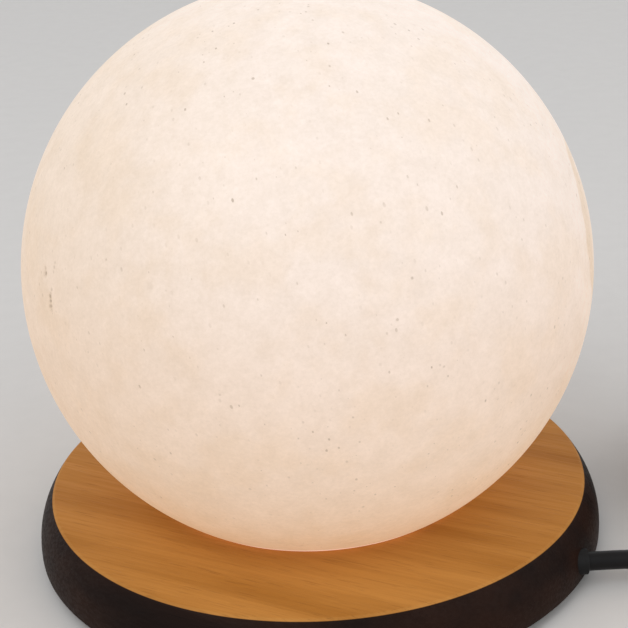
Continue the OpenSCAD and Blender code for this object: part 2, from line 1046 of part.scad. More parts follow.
// The clamp from one height to another, with its groove and screw holes
module clamp_form(low, high) {
    difference() {
        translate([clamp_cord[0] - clamp_l / 2, clamp_cord[1] - clamp_w / 2, low]) {
            cube([clamp_l, clamp_w, high - low]);
        }
        translate([clamp_cord[0], clamp_cord[1] - clamp_w, clamp_cord[2]]) {
            rotate([-90, 0, 0]) {
                cylinder(h = 2 * clamp_w, r = cord_r + thread_gap);
            }
        }
        clamp_screw_places() {
            translate([0, 0, low - cut]) {
                cylinder(h = high - low + 2 * cut, r = clamp_screw_r + slip_gap);
            }
        }
    }
}

module clamp_saddle() {
    color([0.85, 0.85, 0.82]) {
        clamp_form(clamp_cord[2] + clamp_parting, cavity_top);
    }
}

module clamp_strap() {
    color([0.85, 0.85, 0.82]) {
        difference() {
            clamp_form(clamp_low, clamp_cord[2] - clamp_parting);
            clamp_screw_places() {
                translate([0, 0, clamp_low - cut]) {
                    cylinder(h = cut + clamp_sink + clamp_head_t, r = clamp_head_r + loose_gap);
                }
            }
        }
    }
}

module clamp_screws() {
    color([0.7, 0.68, 0.62]) {
        clamp_screw_places() {
            translate([0, 0, clamp_low + clamp_sink]) {
                cylinder(h = clamp_head_t, r = clamp_head_r);
                cylinder(h = cavity_top + clamp_bite - clamp_low - clamp_sink, r = clamp_screw_r);
            }
        }
    }
}

module lead_to_switch() {
    color([0.06, 0.06, 0.07]) {
        swept_tube(route_to_switch, cord_r, cord_sides);
    }
}

// Half of the rounded section across the switch
module switch_section(inset) {
    w = switch_w / 2 - inset;
    h = switch_h - 2 * inset;
    corner = switch_round - inset;
    translate([0, inset]) {
        square([w - 1, h - corner]);
        translate([0, 1]) {
            square([w, h - corner - 1]);
        }
        square([w - corner, h]);
        translate([w - 1, 1]) {
            circle(1);
        }
        translate([w - corner, h - corner]) {
            circle(corner);
        }
    }
}

// The outside of the switch, or its hollow where there is an inset
module switch_form(inset) {
    straight = switch_l - switch_w;
    translate([switch_x, switch_y, 0]) {
        for (side = [-1, 1]) {
            translate([side * straight / 2, 0, 0]) {
                rotate_extrude() {
                    intersection() {
                        switch_section(inset);
                        square([switch_w, 2 * switch_h]);
                    }
                }
            }
        }
        translate([-straight / 2, 0, 0]) {
            rotate([90, 0, 90]) {
                linear_extrude(straight) {
                    switch_section(inset);
                    mirror([1, 0]) {
                        switch_section(inset);
                    }
                }
            }
        }
    }
}

// A round hole or rod along the switch
module along_switch(x0, x1, y, z, r) {
    translate([switch_x + x0, switch_y + y, z]) {
        rotate([0, 90, 0]) {
            cylinder(h = x1 - x0, r = r);
        }
    }
}

module switch_screw_places() {
    for (side = [-1, 1]) {
        translate([switch_x + side * switch_screw_dx, switch_y + side * switch_screw_dy, 0]) {
            children();
        }
    }
}

module switch_halves() {
    difference() {
        switch_form(0);
        switch_form(switch_wall);
        along_switch(-switch_l, switch_l, 0, switch_split, cord_r + thread_gap);
    }
    switch_screw_places() {
        translate([0, 0, switch_wall - tiny]) {
            cylinder(h = switch_h - 2 * switch_wall + 2 * tiny, r = switch_post_r);
        }
    }
}

module switch_lower_shell() {
    color([0.05, 0.05, 0.05]) {
        difference() {
            intersection() {
                switch_halves();
                translate([switch_x - switch_l, switch_y - switch_w, 0]) {
                    cube([2 * switch_l, 2 * switch_w, switch_split]);
                }
            }
            switch_screw_places() {
                translate([0, 0, -cut]) {
                    cylinder(h = switch_split + 2 * cut, r = switch_screw_r + slip_gap + thread_gap);
                    cylinder(h = cut + switch_sink + switch_head_t, r = switch_head_r + slip_gap);
                }
            }
        }
    }
}

module switch_upper_shell() {
    opening_l = rocker_l + 2 * loose_gap;
    opening_w = rocker_w + 2 * loose_gap;
    color([0.05, 0.05, 0.05]) {
        difference() {
            union() {
                intersection() {
                    switch_halves();
                    translate([switch_x - switch_l, switch_y - switch_w, switch_split]) {
                        cube([2 * switch_l, 2 * switch_w, switch_h]);
                    }
                }
                for (side = [-1, 1]) {
                    translate([
                        switch_x - ear_w / 2,
                        switch_y + side * (opening_w + ear_t) / 2 - ear_t / 2,
                        pivot_z - ear_w / 2
                    ]) {
                        cube([ear_w, ear_t, switch_h - switch_wall - pivot_z + ear_w / 2 + tiny]);
                    }
                }
            }
            translate([switch_x - opening_l / 2, switch_y - opening_w / 2, switch_h - switch_wall - cut]) {
                cube([opening_l, opening_w, switch_wall + 2 * cut]);
            }
            translate([switch_x, switch_y, pivot_z]) {
                rotate([90, 0, 0]) {
                    cylinder(h = opening_w + 2 * ear_t - 1.2, r = trunnion_r + thread_gap, center = true);
                }
            }
            switch_screw_places() {
                translate([0, 0, switch_split - cut]) {
                    cylinder(
                        h = switch_sink + switch_screw_l + screw_room - switch_split + cut,
                        r = switch_screw_r + thread_gap
                    );
                }
            }
        }
    }
}

// The rocker, pressed down on its +X side
module switch_rocker() {
    end_h = rocker_saddle_h + rocker_r * tan(rocker_tilt);
    color([0.1, 0.1, 0.1]) {
        translate([switch_x, switch_y, pivot_z]) {
            rotate([0, rocker_tilt, 0]) {
                rotate([90, 0, 0]) {
                    linear_extrude(rocker_w, center = true) {
                        intersection() {
                            circle(rocker_r);
                            polygon([
                                [-rocker_r, -rocker_skirt_h],
                                [rocker_r, -rocker_skirt_h],
                                [rocker_r, end_h],
                                [0, rocker_saddle_h],
                                [-rocker_r, end_h]
                            ]);
                        }
                    }
                    cylinder(h = rocker_w + 2 * loose_gap + 2 * ear_t - 1.4, r = trunnion_r, center = true);
                }
            }
        }
    }
}

module switch_terminals() {
    color([0.83, 0.68, 0.36]) {
        for (side = [-1, 1]) {
            translate([
                switch_x + side * terminal_dx - terminal_block / 2,
                switch_y - terminal_block + core_off,
                switch_wall
            ]) {
                difference() {
                    cube([terminal_block, terminal_block, terminal_block]);
                    translate([-cut, terminal_hole, terminal_hole_z]) {
                        rotate([0, 90, 0]) {
                            cylinder(h = terminal_block + 2 * cut, r = core_d / 2 + thread_gap);
                        }
                    }
                }
            }
        }
    }
}

// The switched core's two ends and the core that passes straight through
module switch_cores() {
    live_y = -terminal_block + core_off + terminal_hole;
    live_z = switch_wall + terminal_hole_z;
    side_z = switch_wall + core_d;
    color([0.45, 0.25, 0.12]) {
        for (side = [-1, 1]) {
            swept_tube([
                [switch_x + side * cord_in_switch, switch_y - core_off, switch_split],
                [switch_x + side * (cord_in_switch - 1.5), switch_y - core_off, switch_split],
                [switch_x + side * (cord_in_switch - 5), switch_y - core_off, (switch_split + live_z) / 2],
                [switch_x + side * (cord_in_switch - 8.5), switch_y + live_y, live_z],
                [switch_x + side * (cord_in_switch - 10), switch_y + live_y, live_z],
                [switch_x + side * terminal_dx, switch_y + live_y, live_z]
            ], core_d / 2, cord_sides);
        }
        swept_tube([
            [switch_x - cord_in_switch, switch_y + core_off, switch_split],
            [switch_x - cord_in_switch + 1.5, switch_y + core_off, switch_split],
            [switch_x - cord_in_switch + 5, switch_y + (core_off + neutral_dy) / 2, (switch_split + side_z) / 2],
            [switch_x - cord_in_switch + 9, switch_y + neutral_dy, side_z],
            [switch_x, switch_y + neutral_dy, side_z],
            [switch_x + cord_in_switch - 9, switch_y + neutral_dy, side_z],
            [switch_x + cord_in_switch - 5, switch_y + (core_off + neutral_dy) / 2, (switch_split + side_z) / 2],
            [switch_x + cord_in_switch - 1.5, switch_y + core_off, switch_split],
            [switch_x + cord_in_switch, switch_y + core_off, switch_split]
        ], core_d / 2, cord_sides);
    }
}

module switch_screws() {
    color([0.7, 0.68, 0.62]) {
        switch_screw_places() {
            translate([0, 0, switch_sink]) {
                difference() {
                    union() {
                        cylinder(h = switch_head_t, r = switch_head_r);
                        cylinder(h = switch_screw_l, r = switch_screw_r);
                    }
                    driver_slot(slot_l, slot_w, slot_deep);
                }
            }
        }
    }
}

module lead_to_coil() {
    color([0.06, 0.06, 0.07]) {
        swept_tube(route_to_coil, cord_r, cord_sides);
    }
}

module cord_coil() {
    color([0.06, 0.06, 0.07]) {
        swept_tube(coil_path, cord_r, coil_sides);
    }
}

// A strap round the whole bundle, on the side of the coil towards the lamp
module coil_tie() {
    reach = [
        for (i = [0:coil_steps])
            let (p = coil_point(coil_turns * i / coil_steps) - [coil_x, coil_y, 0])
            if (p[0] < 0 && abs(p[1]) < tie_w) norm([p[0], p[1]])
    ];
    bundle_out = max(reach) + cord_r + loose_gap;
    bundle_in = min(reach) - cord_r - loose_gap;
    high = coil_top_z + cord_r + loose_gap;
    color([0.12, 0.12, 0.13]) {
        translate([coil_x, coil_y + tie_w / 2, 0]) {
            rotate([90, 0, 0]) {
                linear_extrude(tie_w) {
                    difference() {
                        translate([-bundle_out - tie_t, 0]) {
                            square([bundle_out - bundle_in + 2 * tie_t, high + tie_t]);
                        }
                        translate([-bundle_out, tie_t]) {
                            square([bundle_out - bundle_in, high - tie_t]);
                        }
                    }
                }
            }
        }
    }
}

module lead_to_plug() {
    color([0.06, 0.06, 0.07]) {
        swept_tube(route_to_plug, cord_r, cord_sides);
    }
}

// The outline of the plug from above: it widens from the relief to the pins
module plug_outline() {
    half_w = plug_w / 2;
    polygon([
        [0, -plug_nose_w],
        [plug_taper_l, -half_w],
        [plug_l, -half_w],
        [plug_l, half_w],
        [plug_taper_l, half_w],
        [0, plug_nose_w]
    ]);
}

// The rounded section across the plug
module plug_section() {
    half_w = plug_w / 2;
    translate([-half_w + plug_corner, 0]) {
        square([plug_w - 2 * plug_corner, plug_t]);
    }
    translate([-half_w, plug_corner]) {
        square([plug_w, plug_t - 2 * plug_corner]);
    }
    for (y = [-half_w + plug_corner, half_w - plug_corner], z = [plug_corner, plug_t - plug_corner]) {
        translate([y, z]) {
            circle(plug_corner);
        }
    }
}

// The tapered strain relief, with a rib at each even step along it
module plug_relief() {
    step = relief_l / (relief_ribs + 0.5);
    cylinder(h = relief_l + 1, r1 = relief_low_r, r2 = relief_high_r);
    for (i = [0:relief_ribs - 1]) {
        translate([0, 0, step * (i + 0.5)]) {
            cylinder(
                h = relief_rib_t,
                r = relief_low_r + relief_rib_h + (relief_high_r - relief_low_r) * (i + 0.5) / relief_ribs
            );
        }
    }
}

module plug_pin_places() {
    for (side = [-1, 1]) {
        translate([plug_face, plug_y + side * pin_pitch / 2, plug_z]) {
            rotate([0, 90, 0]) {
                children();
            }
        }
    }
}

// The moulded body, with grip hollows at its sides, and its ribbed strain relief
module plug_body() {
    grip_y = plug_w / 2 + grip_r - grip_deep;
    color([0.05, 0.05, 0.05]) {
        difference() {
            union() {
                translate([plug_x, plug_y, 0]) {
                    intersection() {
                        linear_extrude(plug_t) {
                            plug_outline();
                        }
                        rotate([90, 0, 90]) {
                            linear_extrude(plug_l) {
                                plug_section();
                            }
                        }
                    }
                }
                translate([plug_x - relief_l, plug_y, plug_z]) {
                    rotate([0, 90, 0]) {
                        plug_relief();
                    }
                }
            }
            for (side = [-1, 1]) {
                translate([plug_x + plug_l * grip_place, plug_y + side * grip_y, -cut]) {
                    cylinder(h = plug_t + 2 * cut, r = grip_r);
                }
            }
            translate([plug_x - relief_l - cut, plug_y, plug_z]) {
                rotate([0, 90, 0]) {
                    cylinder(h = cut + relief_bore_l + thread_gap, r = cord_r + thread_gap);
                }
            }
            plug_pin_places() {
                translate([0, 0, -pin_root_l - thread_gap]) {
                    cylinder(h = pin_root_l + cut, r = pin_neck_r + thread_gap);
                }
            }
        }
    }
}

// Each pin is full size at its bare end and necked where the plug and the sleeve hold it
module plug_pins() {
    bare_l = pin_l - pin_sleeve_l - pin_tip_l;
    color([0.8, 0.78, 0.72]) {
        plug_pin_places() {
            translate([0, 0, -pin_root_l]) {
                cylinder(h = pin_root_l + pin_sleeve_l + tiny, r = pin_neck_r);
            }
            translate([0, 0, pin_sleeve_l]) {
                cylinder(h = bare_l, r = pin_r);
            }
            translate([0, 0, pin_sleeve_l + bare_l - tiny]) {
                cylinder(h = pin_tip_l + tiny, r1 = pin_r, r2 = pin_r - pin_tip_in);
            }
        }
    }
}

module pin_sleeves() {
    color([0.05, 0.05, 0.05]) {
        plug_pin_places() {
            ring(0, pin_sleeve_l, pin_sleeve_r, pin_neck_r + thread_gap);
        }
    }
}

salt_sphere();
base_disc();
bottom_cover();
cover_screws();
rubber_feet();
locating_dish();
threaded_tube();
tube_nut();
tube_washer();
holder_cap();
holder_insert();
holder_sleeve();
screw_shell();
centre_contact();
terminal_screws();
bulb_contact();
bulb_insulator();
bulb_screw_cap();
bulb_glass();
bulb_stem();
bulb_wires();
bulb_filament();
side_bushing();
inner_cord();
live_core();
neutral_core();
clamp_saddle();
clamp_strap();
clamp_screws();
lead_to_switch();
switch_lower_shell();
switch_upper_shell();
switch_rocker();
switch_terminals();
switch_cores();
switch_screws();
lead_to_coil();
cord_coil();
coil_tie();
lead_to_plug();
plug_body();
plug_pins();
pin_sleeves();
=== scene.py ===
"""A ball of pale stone on a turned wooden base, lit by a small bulb inside it, with its mains lead.

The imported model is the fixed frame. Sizes come from its nodes, or are named beside the piece that has them:
sizes in metres, and routes and tables of places in millimetres.
"""

import logging
import math
from dataclasses import dataclass
from enum import Enum
from typing import Callable, Iterable, Mapping, Sequence

import bmesh
import bpy
from mathutils import Matrix, Vector


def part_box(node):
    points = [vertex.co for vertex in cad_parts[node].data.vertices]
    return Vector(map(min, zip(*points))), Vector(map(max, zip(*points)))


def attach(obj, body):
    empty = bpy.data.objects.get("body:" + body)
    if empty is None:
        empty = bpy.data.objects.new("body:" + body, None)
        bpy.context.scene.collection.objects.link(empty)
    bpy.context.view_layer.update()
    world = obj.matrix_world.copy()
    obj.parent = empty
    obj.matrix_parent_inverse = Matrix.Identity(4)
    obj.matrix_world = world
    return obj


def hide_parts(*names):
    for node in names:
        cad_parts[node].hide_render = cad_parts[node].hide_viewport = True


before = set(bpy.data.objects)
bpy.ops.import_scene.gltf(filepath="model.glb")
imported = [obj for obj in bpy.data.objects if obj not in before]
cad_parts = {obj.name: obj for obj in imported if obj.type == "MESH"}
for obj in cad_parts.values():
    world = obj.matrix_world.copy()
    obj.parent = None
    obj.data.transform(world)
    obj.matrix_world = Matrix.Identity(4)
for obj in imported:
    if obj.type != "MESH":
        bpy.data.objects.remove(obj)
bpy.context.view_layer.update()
LOG = logging.getLogger("lamp")

MM = 0.001
NEAR = 1e-6
SWAY = 0.012
CORNER = math.radians(25.0)
FLAT = 0.99
SHEET_SHARP = 50.0
SMOOTH_SHARP = 32.0
SMALL_ROUND = 48
INWARD, OUTWARD = -1.0, 1.0
ORIGIN = BLACK = (0.0, 0.0, 0.0)
ALONG_X = (1.0, 0.0, 0.0)
ALONG_Z = (0.0, 0.0, 1.0)

Colour = tuple[float, float, float]
Point = tuple[float, float, float]
Shape = bmesh.types.BMesh
Piece = bpy.types.Object
Node = bpy.types.Node
Socket = bpy.types.NodeSocket
Sockets = Mapping[str, Socket]


class Body(Enum):
    """The bodies that a piece can ride on."""

    BASE = "base"
    SPHERE = "sphere"
    BULB_TIP = "bulb_tip"
    BULB = "bulb"
    ROCKER = "rocker"


class Tree:
    """Adds nodes to the node tree of a material or a group, and links them."""

    def __init__(self, tree: bpy.types.NodeTree) -> None:
        """Starts with an empty tree."""
        self.tree = tree
        tree.nodes.clear()

    def feed(self, socket: Socket, value: object) -> None:
        """Links another node's socket to an input, or sets the input's own value.

        Args:
            socket: the input.
            value: a socket, a number, a vector or a colour of three numbers.
        """
        if isinstance(value, Socket):
            self.tree.links.new(value, socket)
        elif socket.type == "RGBA":
            socket.default_value = (*value, 1.0)
        else:
            socket.default_value = value

    def fill(self, node: Node, inputs: dict) -> None:
        """Feeds several inputs of a node, by name or number."""
        for name, value in inputs.items():
            self.feed(node.inputs[name], value)

    def add(self, kind: str, inputs: dict | None = None, **settings: object) -> Node:
        """Adds a node.

        Args:
            kind: the node's type name.
            inputs: values or sockets by the input's name or number.
            settings: properties of the node.

        Returns:
            The new node.
        """
        node = self.tree.nodes.new(kind)
        for name, value in settings.items():
            setattr(node, name, value)
        self.fill(node, inputs or {})
        return node

    def value(self, operation: str, a: object, b: object = 0.0) -> Socket:
        """The result of an operation on one or two values."""
        return self.add("ShaderNodeMath", {0: a, 1: b}, operation=operation).outputs[0]

    def times(self, a: object, b: object) -> Socket:
        """The product of two values."""
        return self.value("MULTIPLY", a, b)

    def vector(self, operation: str, a: object, b: object) -> Socket:
        """The vector that an operation on two vectors gives."""
        return self.add("ShaderNodeVectorMath", {0: a, 1: b}, operation=operation).outputs[0]

    def distance(self, a: object, b: object) -> Socket:
        """How far apart two places are."""
        return self.add("ShaderNodeVectorMath", {0: a, 1: b}, operation="DISTANCE").outputs["Value"]

    def remap(self, value: object, low: object, high: object, to: Sequence[float] = (0.0, 1.0)) -> Socket:
        """A value taken smoothly from one range to another."""
        ends = {"Value": value, "From Min": low, "From Max": high, "To Min": to[0], "To Max": to[1]}
        return self.add("ShaderNodeMapRange", ends, interpolation_type="SMOOTHSTEP").outputs["Result"]

    def mix(self, amount: object, a: object, b: object, blend: str = "MIX") -> Socket:
        """One colour mixed into another."""
        inputs = {0: amount, 6: a, 7: b}
        return self.add("ShaderNodeMix", inputs, data_type="RGBA", blend_type=blend).outputs[2]

    def stain(self, a: object, b: object, amount: object = 1.0) -> Socket:
        """One colour multiplied by another, wholly or in part."""
        return self.mix(amount, a, b, "MULTIPLY")

    def noise(self, vector: object, scale: object, detail: object = 2.0, rough: object = 0.5) -> Socket:
        """Fractal noise from 0 to 1."""
        inputs = {"Vector": vector, "Scale": scale, "Detail": detail, "Roughness": rough}
        return self.add("ShaderNodeTexNoise", inputs).outputs["Fac"]

    def turned(self, vector: object, scale: Point = (1.0, 1.0, 1.0), turn: Point = ORIGIN) -> Socket:
        """Coordinates turned by degrees about each axis, after a scale along each.

        Args:
            vector: the coordinates.
            scale: how much each axis is stretched.
            turn: the turn in degrees about each axis.

        Returns:
            The turned coordinates.
        """
        radians = tuple(math.radians(a) for a in turn)
        first = self.add("ShaderNodeMapping", {"Vector": vector, "Rotation": radians}, vector_type="POINT")
        inputs = {"Vector": first.outputs[0], "Scale": scale}
        last = self.add("ShaderNodeMapping", inputs, vector_type="POINT")
        return last.outputs[0]

    def swayed(self, vector: object, along: object, scale: float, detail: float, middle: float) -> Socket:
        """Coordinates shifted to and fro by slow waves.

        Args:
            vector: the coordinates.
            along: the coordinates that the waves are laid along.
            scale: how close the waves are.
            detail: how many finer waves they carry.
            middle: the wave height that shifts nothing.

        Returns:
            The shifted coordinates.
        """
        inputs = {"Vector": along, "Scale": scale, "Detail": detail}
        waves = self.add("ShaderNodeTexNoise", inputs).outputs["Color"]
        shift = self.vector("SUBTRACT", waves, (middle,) * 3)
        return self.vector("ADD", vector, self.vector("MULTIPLY", shift, (SWAY,) * 3))

    def effects(self, kind: "Effect", **inputs: object) -> Sockets:
        """Places a shared effect with its own values, and gives all that it makes.

        Args:
            kind: which effect.
            inputs: its values, by name.

        Returns:
            Its outputs.
        """
        node = self.add("ShaderNodeGroup", node_tree=shared_effect(kind))
        self.fill(node, {name.title(): value for name, value in inputs.items()})
        return node.outputs

    def effect(self, kind: "Effect", **inputs: object) -> Socket:
        """Places a shared effect that makes one value."""
        return self.effects(kind, **inputs)[0]

    def clouds(self, place: Socket, scale: float, contrast: float, **more: float) -> Socket:
        """Clouds about a half."""
        return self.effect(Effect.CLOUDED, vector=place, scale=scale, contrast=contrast, **more)

    def raised(self, height: Socket, depth: float) -> Socket:
        """The normals of a surface with a height, for which 1 is a real depth in metres."""
        return self.add("ShaderNodeBump", {"Strength": 1.0, "Distance": depth, "Height": height}).outputs[0]

    def axes(self, vector: Socket) -> Sockets:
        """The X, Y and Z of a place."""
        return self.add("ShaderNodeSeparateXYZ", {0: vector}).outputs


class Effect(Enum):
    """The effects that more than one finish uses."""

    CLOUDED = "clouded"
    SPECKED = "specked"
    MARKED = "marked"
    GRAINED = "grained"
    RELIEF = "relief"


def clouded(tree: Tree, source: Sockets) -> dict[str, Socket]:
    """Clouds about a half, with as many finer clouds in them as the detail says.

    Args:
        tree: the effect's tree.
        source: the effect's inputs.

    Returns:
        The clouds' height at each place.
    """
    noise = tree.noise(source["Vector"], source["Scale"], source["Detail"], source["Evenness"])
    off = tree.value("SUBTRACT", noise, 0.5)
    return {"Value": tree.value("ADD", tree.times(off, source["Contrast"]), 0.5)}


def specked(
    tree: Tree, source: Sockets, even_share: float = 0.55, paleness: float = 1.5
) -> dict[str, Socket]:
    """Small round specks in some of the cells of an even scatter, each as dark as it happens to be.

    Args:
        tree: the effect's tree.
        source: the effect's inputs.
        even_share: the inner share of a speck that is evenly dark.
        paleness: how much more often a speck is pale than dark.

    Returns:
        How dark the specks are at each place.
    """
    cells = tree.add("ShaderNodeTexVoronoi", {"Vector": source["Vector"], "Scale": source["Scale"]})
    chance = tree.add("ShaderNodeSeparateColor", {0: cells.outputs["Color"]}).outputs
    size = tree.times(source["Size"], chance[1])
    inside = tree.remap(cells.outputs["Distance"], tree.times(size, even_share), size, (1.0, 0.0))
    chosen = tree.value("LESS_THAN", chance[0], source["Amount"])
    strength = tree.times(chosen, tree.value("POWER", chance[2], paleness))
    return {"Value": tree.times(inside, strength)}


def marked(tree: Tree, source: Sockets, raggedness: float = 900.0) -> dict[str, Socket]:
    """A round mark about one point, ragged at its edge.

    Args:
        tree: the effect's tree.
        source: the effect's inputs.
        raggedness: how close the waves of the edge are.

    Returns:
        How much of the mark is at each place.
    """
    ragged = tree.times(tree.noise(source["Vector"], raggedness), source["Softness"])
    outer = tree.value("ADD", source["Radius"], source["Softness"])
    away = tree.value("ADD", tree.distance(source["Vector"], source["Centre"]), ragged)
    return {"Value": tree.remap(away, source["Radius"], outer, (1.0, 0.0))}


def grained(tree: Tree, source: Sockets) -> dict[str, Socket]:
    """Wood grain along X: broad streaks, fine fibres and short dark pores.

    Args:
        tree: the effect's tree.
        source: the effect's inputs.

    Returns:
        The streaks, the fibres and the pores, each from 0 to 1.
    """
    place = source["Vector"]
    bent = tree.swayed(place, tree.turned(place, (4.0, 20.0, 20.0)), 1.0, 1.0, 0.0)
    pores = tree.noise(tree.turned(bent, (110.0, 2400.0, 2400.0)), 1.0, 1.0)
    return {
        "Streak": tree.noise(tree.turned(bent, (9.0, 75.0, 75.0)), 1.0),
        "Fibre": tree.noise(tree.turned(bent, (45.0, 1100.0, 1100.0)), 1.0, 2.0, 0.6),
        "Pore": tree.remap(pores, 0.62, 0.74),
    }


def relief(tree: Tree, source: Sockets, coarser: float = 0.18) -> dict[str, Socket]:
    """A fine uneven height with a coarser one under it.

    Args:
        tree: the effect's tree.
        source: the effect's inputs.
        coarser: how close the coarse waves are, as a share of the fine ones.

    Returns:
        The height at each place.
    """
    fine = tree.noise(source["Vector"], source["Scale"], 3.0, 0.6)
    coarse = tree.noise(source["Vector"], tree.times(source["Scale"], coarser))
    return {"Value": tree.value("ADD", fine, coarse)}


EFFECTS: dict[Effect, tuple[Callable, dict[str, float | None]]] = {
    Effect.CLOUDED: (clouded, {"Scale": 200.0, "Contrast": 1.0, "Detail": 3.0, "Evenness": 0.55}),
    Effect.SPECKED: (specked, {"Scale": 200.0, "Size": 0.3, "Amount": 0.2}),
    Effect.MARKED: (marked, {"Centre": None, "Radius": 0.001, "Softness": 0.001}),
    Effect.GRAINED: (grained, {}),
    Effect.RELIEF: (relief, {"Scale": 800.0}),
}


def shared_effect(kind: Effect) -> bpy.types.NodeTree:
    """Gives the node group of an effect, built when it is first wanted.

    Args:
        kind: which effect.

    Returns:
        The node group.
    """
    known = bpy.data.node_groups.get(kind.value)
    if known:
        return known
    make, inputs = EFFECTS[kind]
    group = bpy.data.node_groups.new(kind.value, "ShaderNodeTree")
    for name, value in {"Vector": None, **inputs}.items():
        sort = "NodeSocketVector" if value is None else "NodeSocketFloat"
        socket = group.interface.new_socket(name, in_out="INPUT", socket_type=sort)
        if value is not None:
            socket.default_value = value
    tree = Tree(group)
    made = make(tree, tree.add("NodeGroupInput").outputs)
    for name in made:
        group.interface.new_socket(name, in_out="OUTPUT", socket_type="NodeSocketFloat")
    tree.add("NodeGroupOutput", made)
    return group


class Finish:
    """A procedural finish. Each kind says what feeds its shader; the material is built once."""

    name: str

    def shade(self, tree: Tree, place: Socket) -> dict[str, object]:
        """The shader's inputs, from the object's own coordinates in metres.

        Args:
            tree: the material's tree.
            place: the object's own coordinates.

        Returns:
            Values and sockets by the name of the shader's input.
        """
        raise NotImplementedError

    def material(self) -> bpy.types.Material:
        """The material of this finish.

        Returns:
            The material, which every piece with this finish shares.
        """
        known = bpy.data.materials.get(self.name)
        if known:
            return known
        material = bpy.data.materials.new(self.name)
        material.use_nodes = True
        tree = Tree(material.node_tree)
        shader = tree.add("ShaderNodeBsdfPrincipled")
        tree.add("ShaderNodeOutputMaterial", {"Surface": shader.outputs[0]})
        tree.fill(shader, self.shade(tree, tree.add("ShaderNodeTexCoord").outputs["Object"]))
        return material


def scaled(colour: Colour, share: float) -> Colour:
    """A colour made darker or lighter."""
    return tuple(c * share for c in colour)


@dataclass(frozen=True)
class Moulded(Finish):
    """Moulded plastic, rubber or ceramic: a fine texture, and a colour that is a little uneven."""

    name: str
    colour: Colour
    roughness: float = 0.42
    uneven: float = 0.16
    texture: float = 900.0
    depth: float = 0.00002
    coat: float = 0.0
    gloss: float = 0.5
    wear: float = 0.06

    def shade(self, tree: Tree, place: Socket) -> dict[str, object]:
        """The shader's inputs.

        Args:
            tree: the material's tree.
            place: the object's own coordinates.

        Returns:
            Values and sockets by the name of the shader's input.
        """
        dark, light = scaled(self.colour, 1 - self.uneven), scaled(self.colour, 1 + self.uneven)
        height = tree.effect(Effect.RELIEF, vector=place, scale=self.texture)
        ends = (self.roughness - self.wear, self.roughness + self.wear)
        return {
            "Base Color": tree.mix(tree.clouds(place, 110.0, 1.6), dark, light),
            "Roughness": tree.remap(height, 0.7, 1.3, ends),
            "Coat Weight": self.coat,
            "Specular IOR Level": self.gloss,
            "Normal": tree.raised(height, self.depth),
        }


@dataclass(frozen=True)
class Metal(Finish):
    """Turned, pressed or drawn metal, with fine marks along one direction."""

    name: str
    colour: Colour
    roughness: float = 0.3
    marks: Point = (300.0, 300.0, 6000.0)
    tarnish: float = 0.25
    depth: float = 0.000002

    def shade(self, tree: Tree, place: Socket) -> dict[str, object]:
        """The shader's inputs.

        Args:
            tree: the material's tree.
            place: the object's own coordinates.

        Returns:
            Values and sockets by the name of the shader's input.
        """
        lines = tree.noise(tree.turned(place, self.marks), 1.0)
        dull = scaled(self.colour, 1 - self.tarnish)
        return {
            "Base Color": tree.mix(tree.clouds(place, 260.0, 2.2), dull, self.colour),
            "Roughness": tree.remap(lines, 0.3, 0.7, (self.roughness - 0.06, self.roughness + 0.08)),
            "Metallic": 1.0,
            "Normal": tree.raised(lines, self.depth),
        }


@dataclass(frozen=True)
class ClearGlass(Finish):
    """Thin clear glass, with the faintest waves of a blown wall."""

    name: str
    tint: Colour = (0.97, 0.985, 0.98)
    paler: Colour = (0.99, 1.0, 1.0)
    refraction: float = 1.46
    wave_depth: float = 0.00005

    def shade(self, tree: Tree, place: Socket) -> dict[str, object]:
        """The shader's inputs.

        Args:
            tree: the material's tree.
            place: the object's own coordinates.

        Returns:
            Values and sockets by the name of the shader's input.
        """
        wave = tree.clouds(place, 60.0, 1.0)
        return {
            "Base Color": tree.mix(wave, self.tint, self.paler),
            "Roughness": tree.remap(wave, 0.0, 1.0, (0.005, 0.03)),
            "Transmission Weight": 1.0,
            "IOR": self.refraction,
            "Normal": tree.raised(wave, self.wave_depth),
        }


@dataclass(frozen=True)
class Glowing(Finish):
    """A thin lit wire, hottest at its middle."""

    name: str
    middle: Point
    reach: float
    hot: Colour = (1.0, 0.78, 0.42)
    warm: Colour = (1.0, 0.42, 0.12)
    bright: Colour = (0.3, 0.25, 0.2)
    dull: Colour = (0.2, 0.18, 0.16)
    strength: float = 6.0

    def shade(self, tree: Tree, place: Socket) -> dict[str, object]:
        """The shader's inputs.

        Args:
            tree: the material's tree.
            place: the object's own coordinates.

        Returns:
            Values and sockets by the name of the shader's input.
        """
        cooler = tree.remap(tree.distance(place, self.middle), 0.3 * self.reach, self.reach)
        return {
            "Emission Color": tree.mix(cooler, self.hot, self.warm),
            "Base Color": tree.mix(cooler, self.bright, self.dull),
            "Emission Strength": self.strength,
            "Roughness": 0.5,
        }


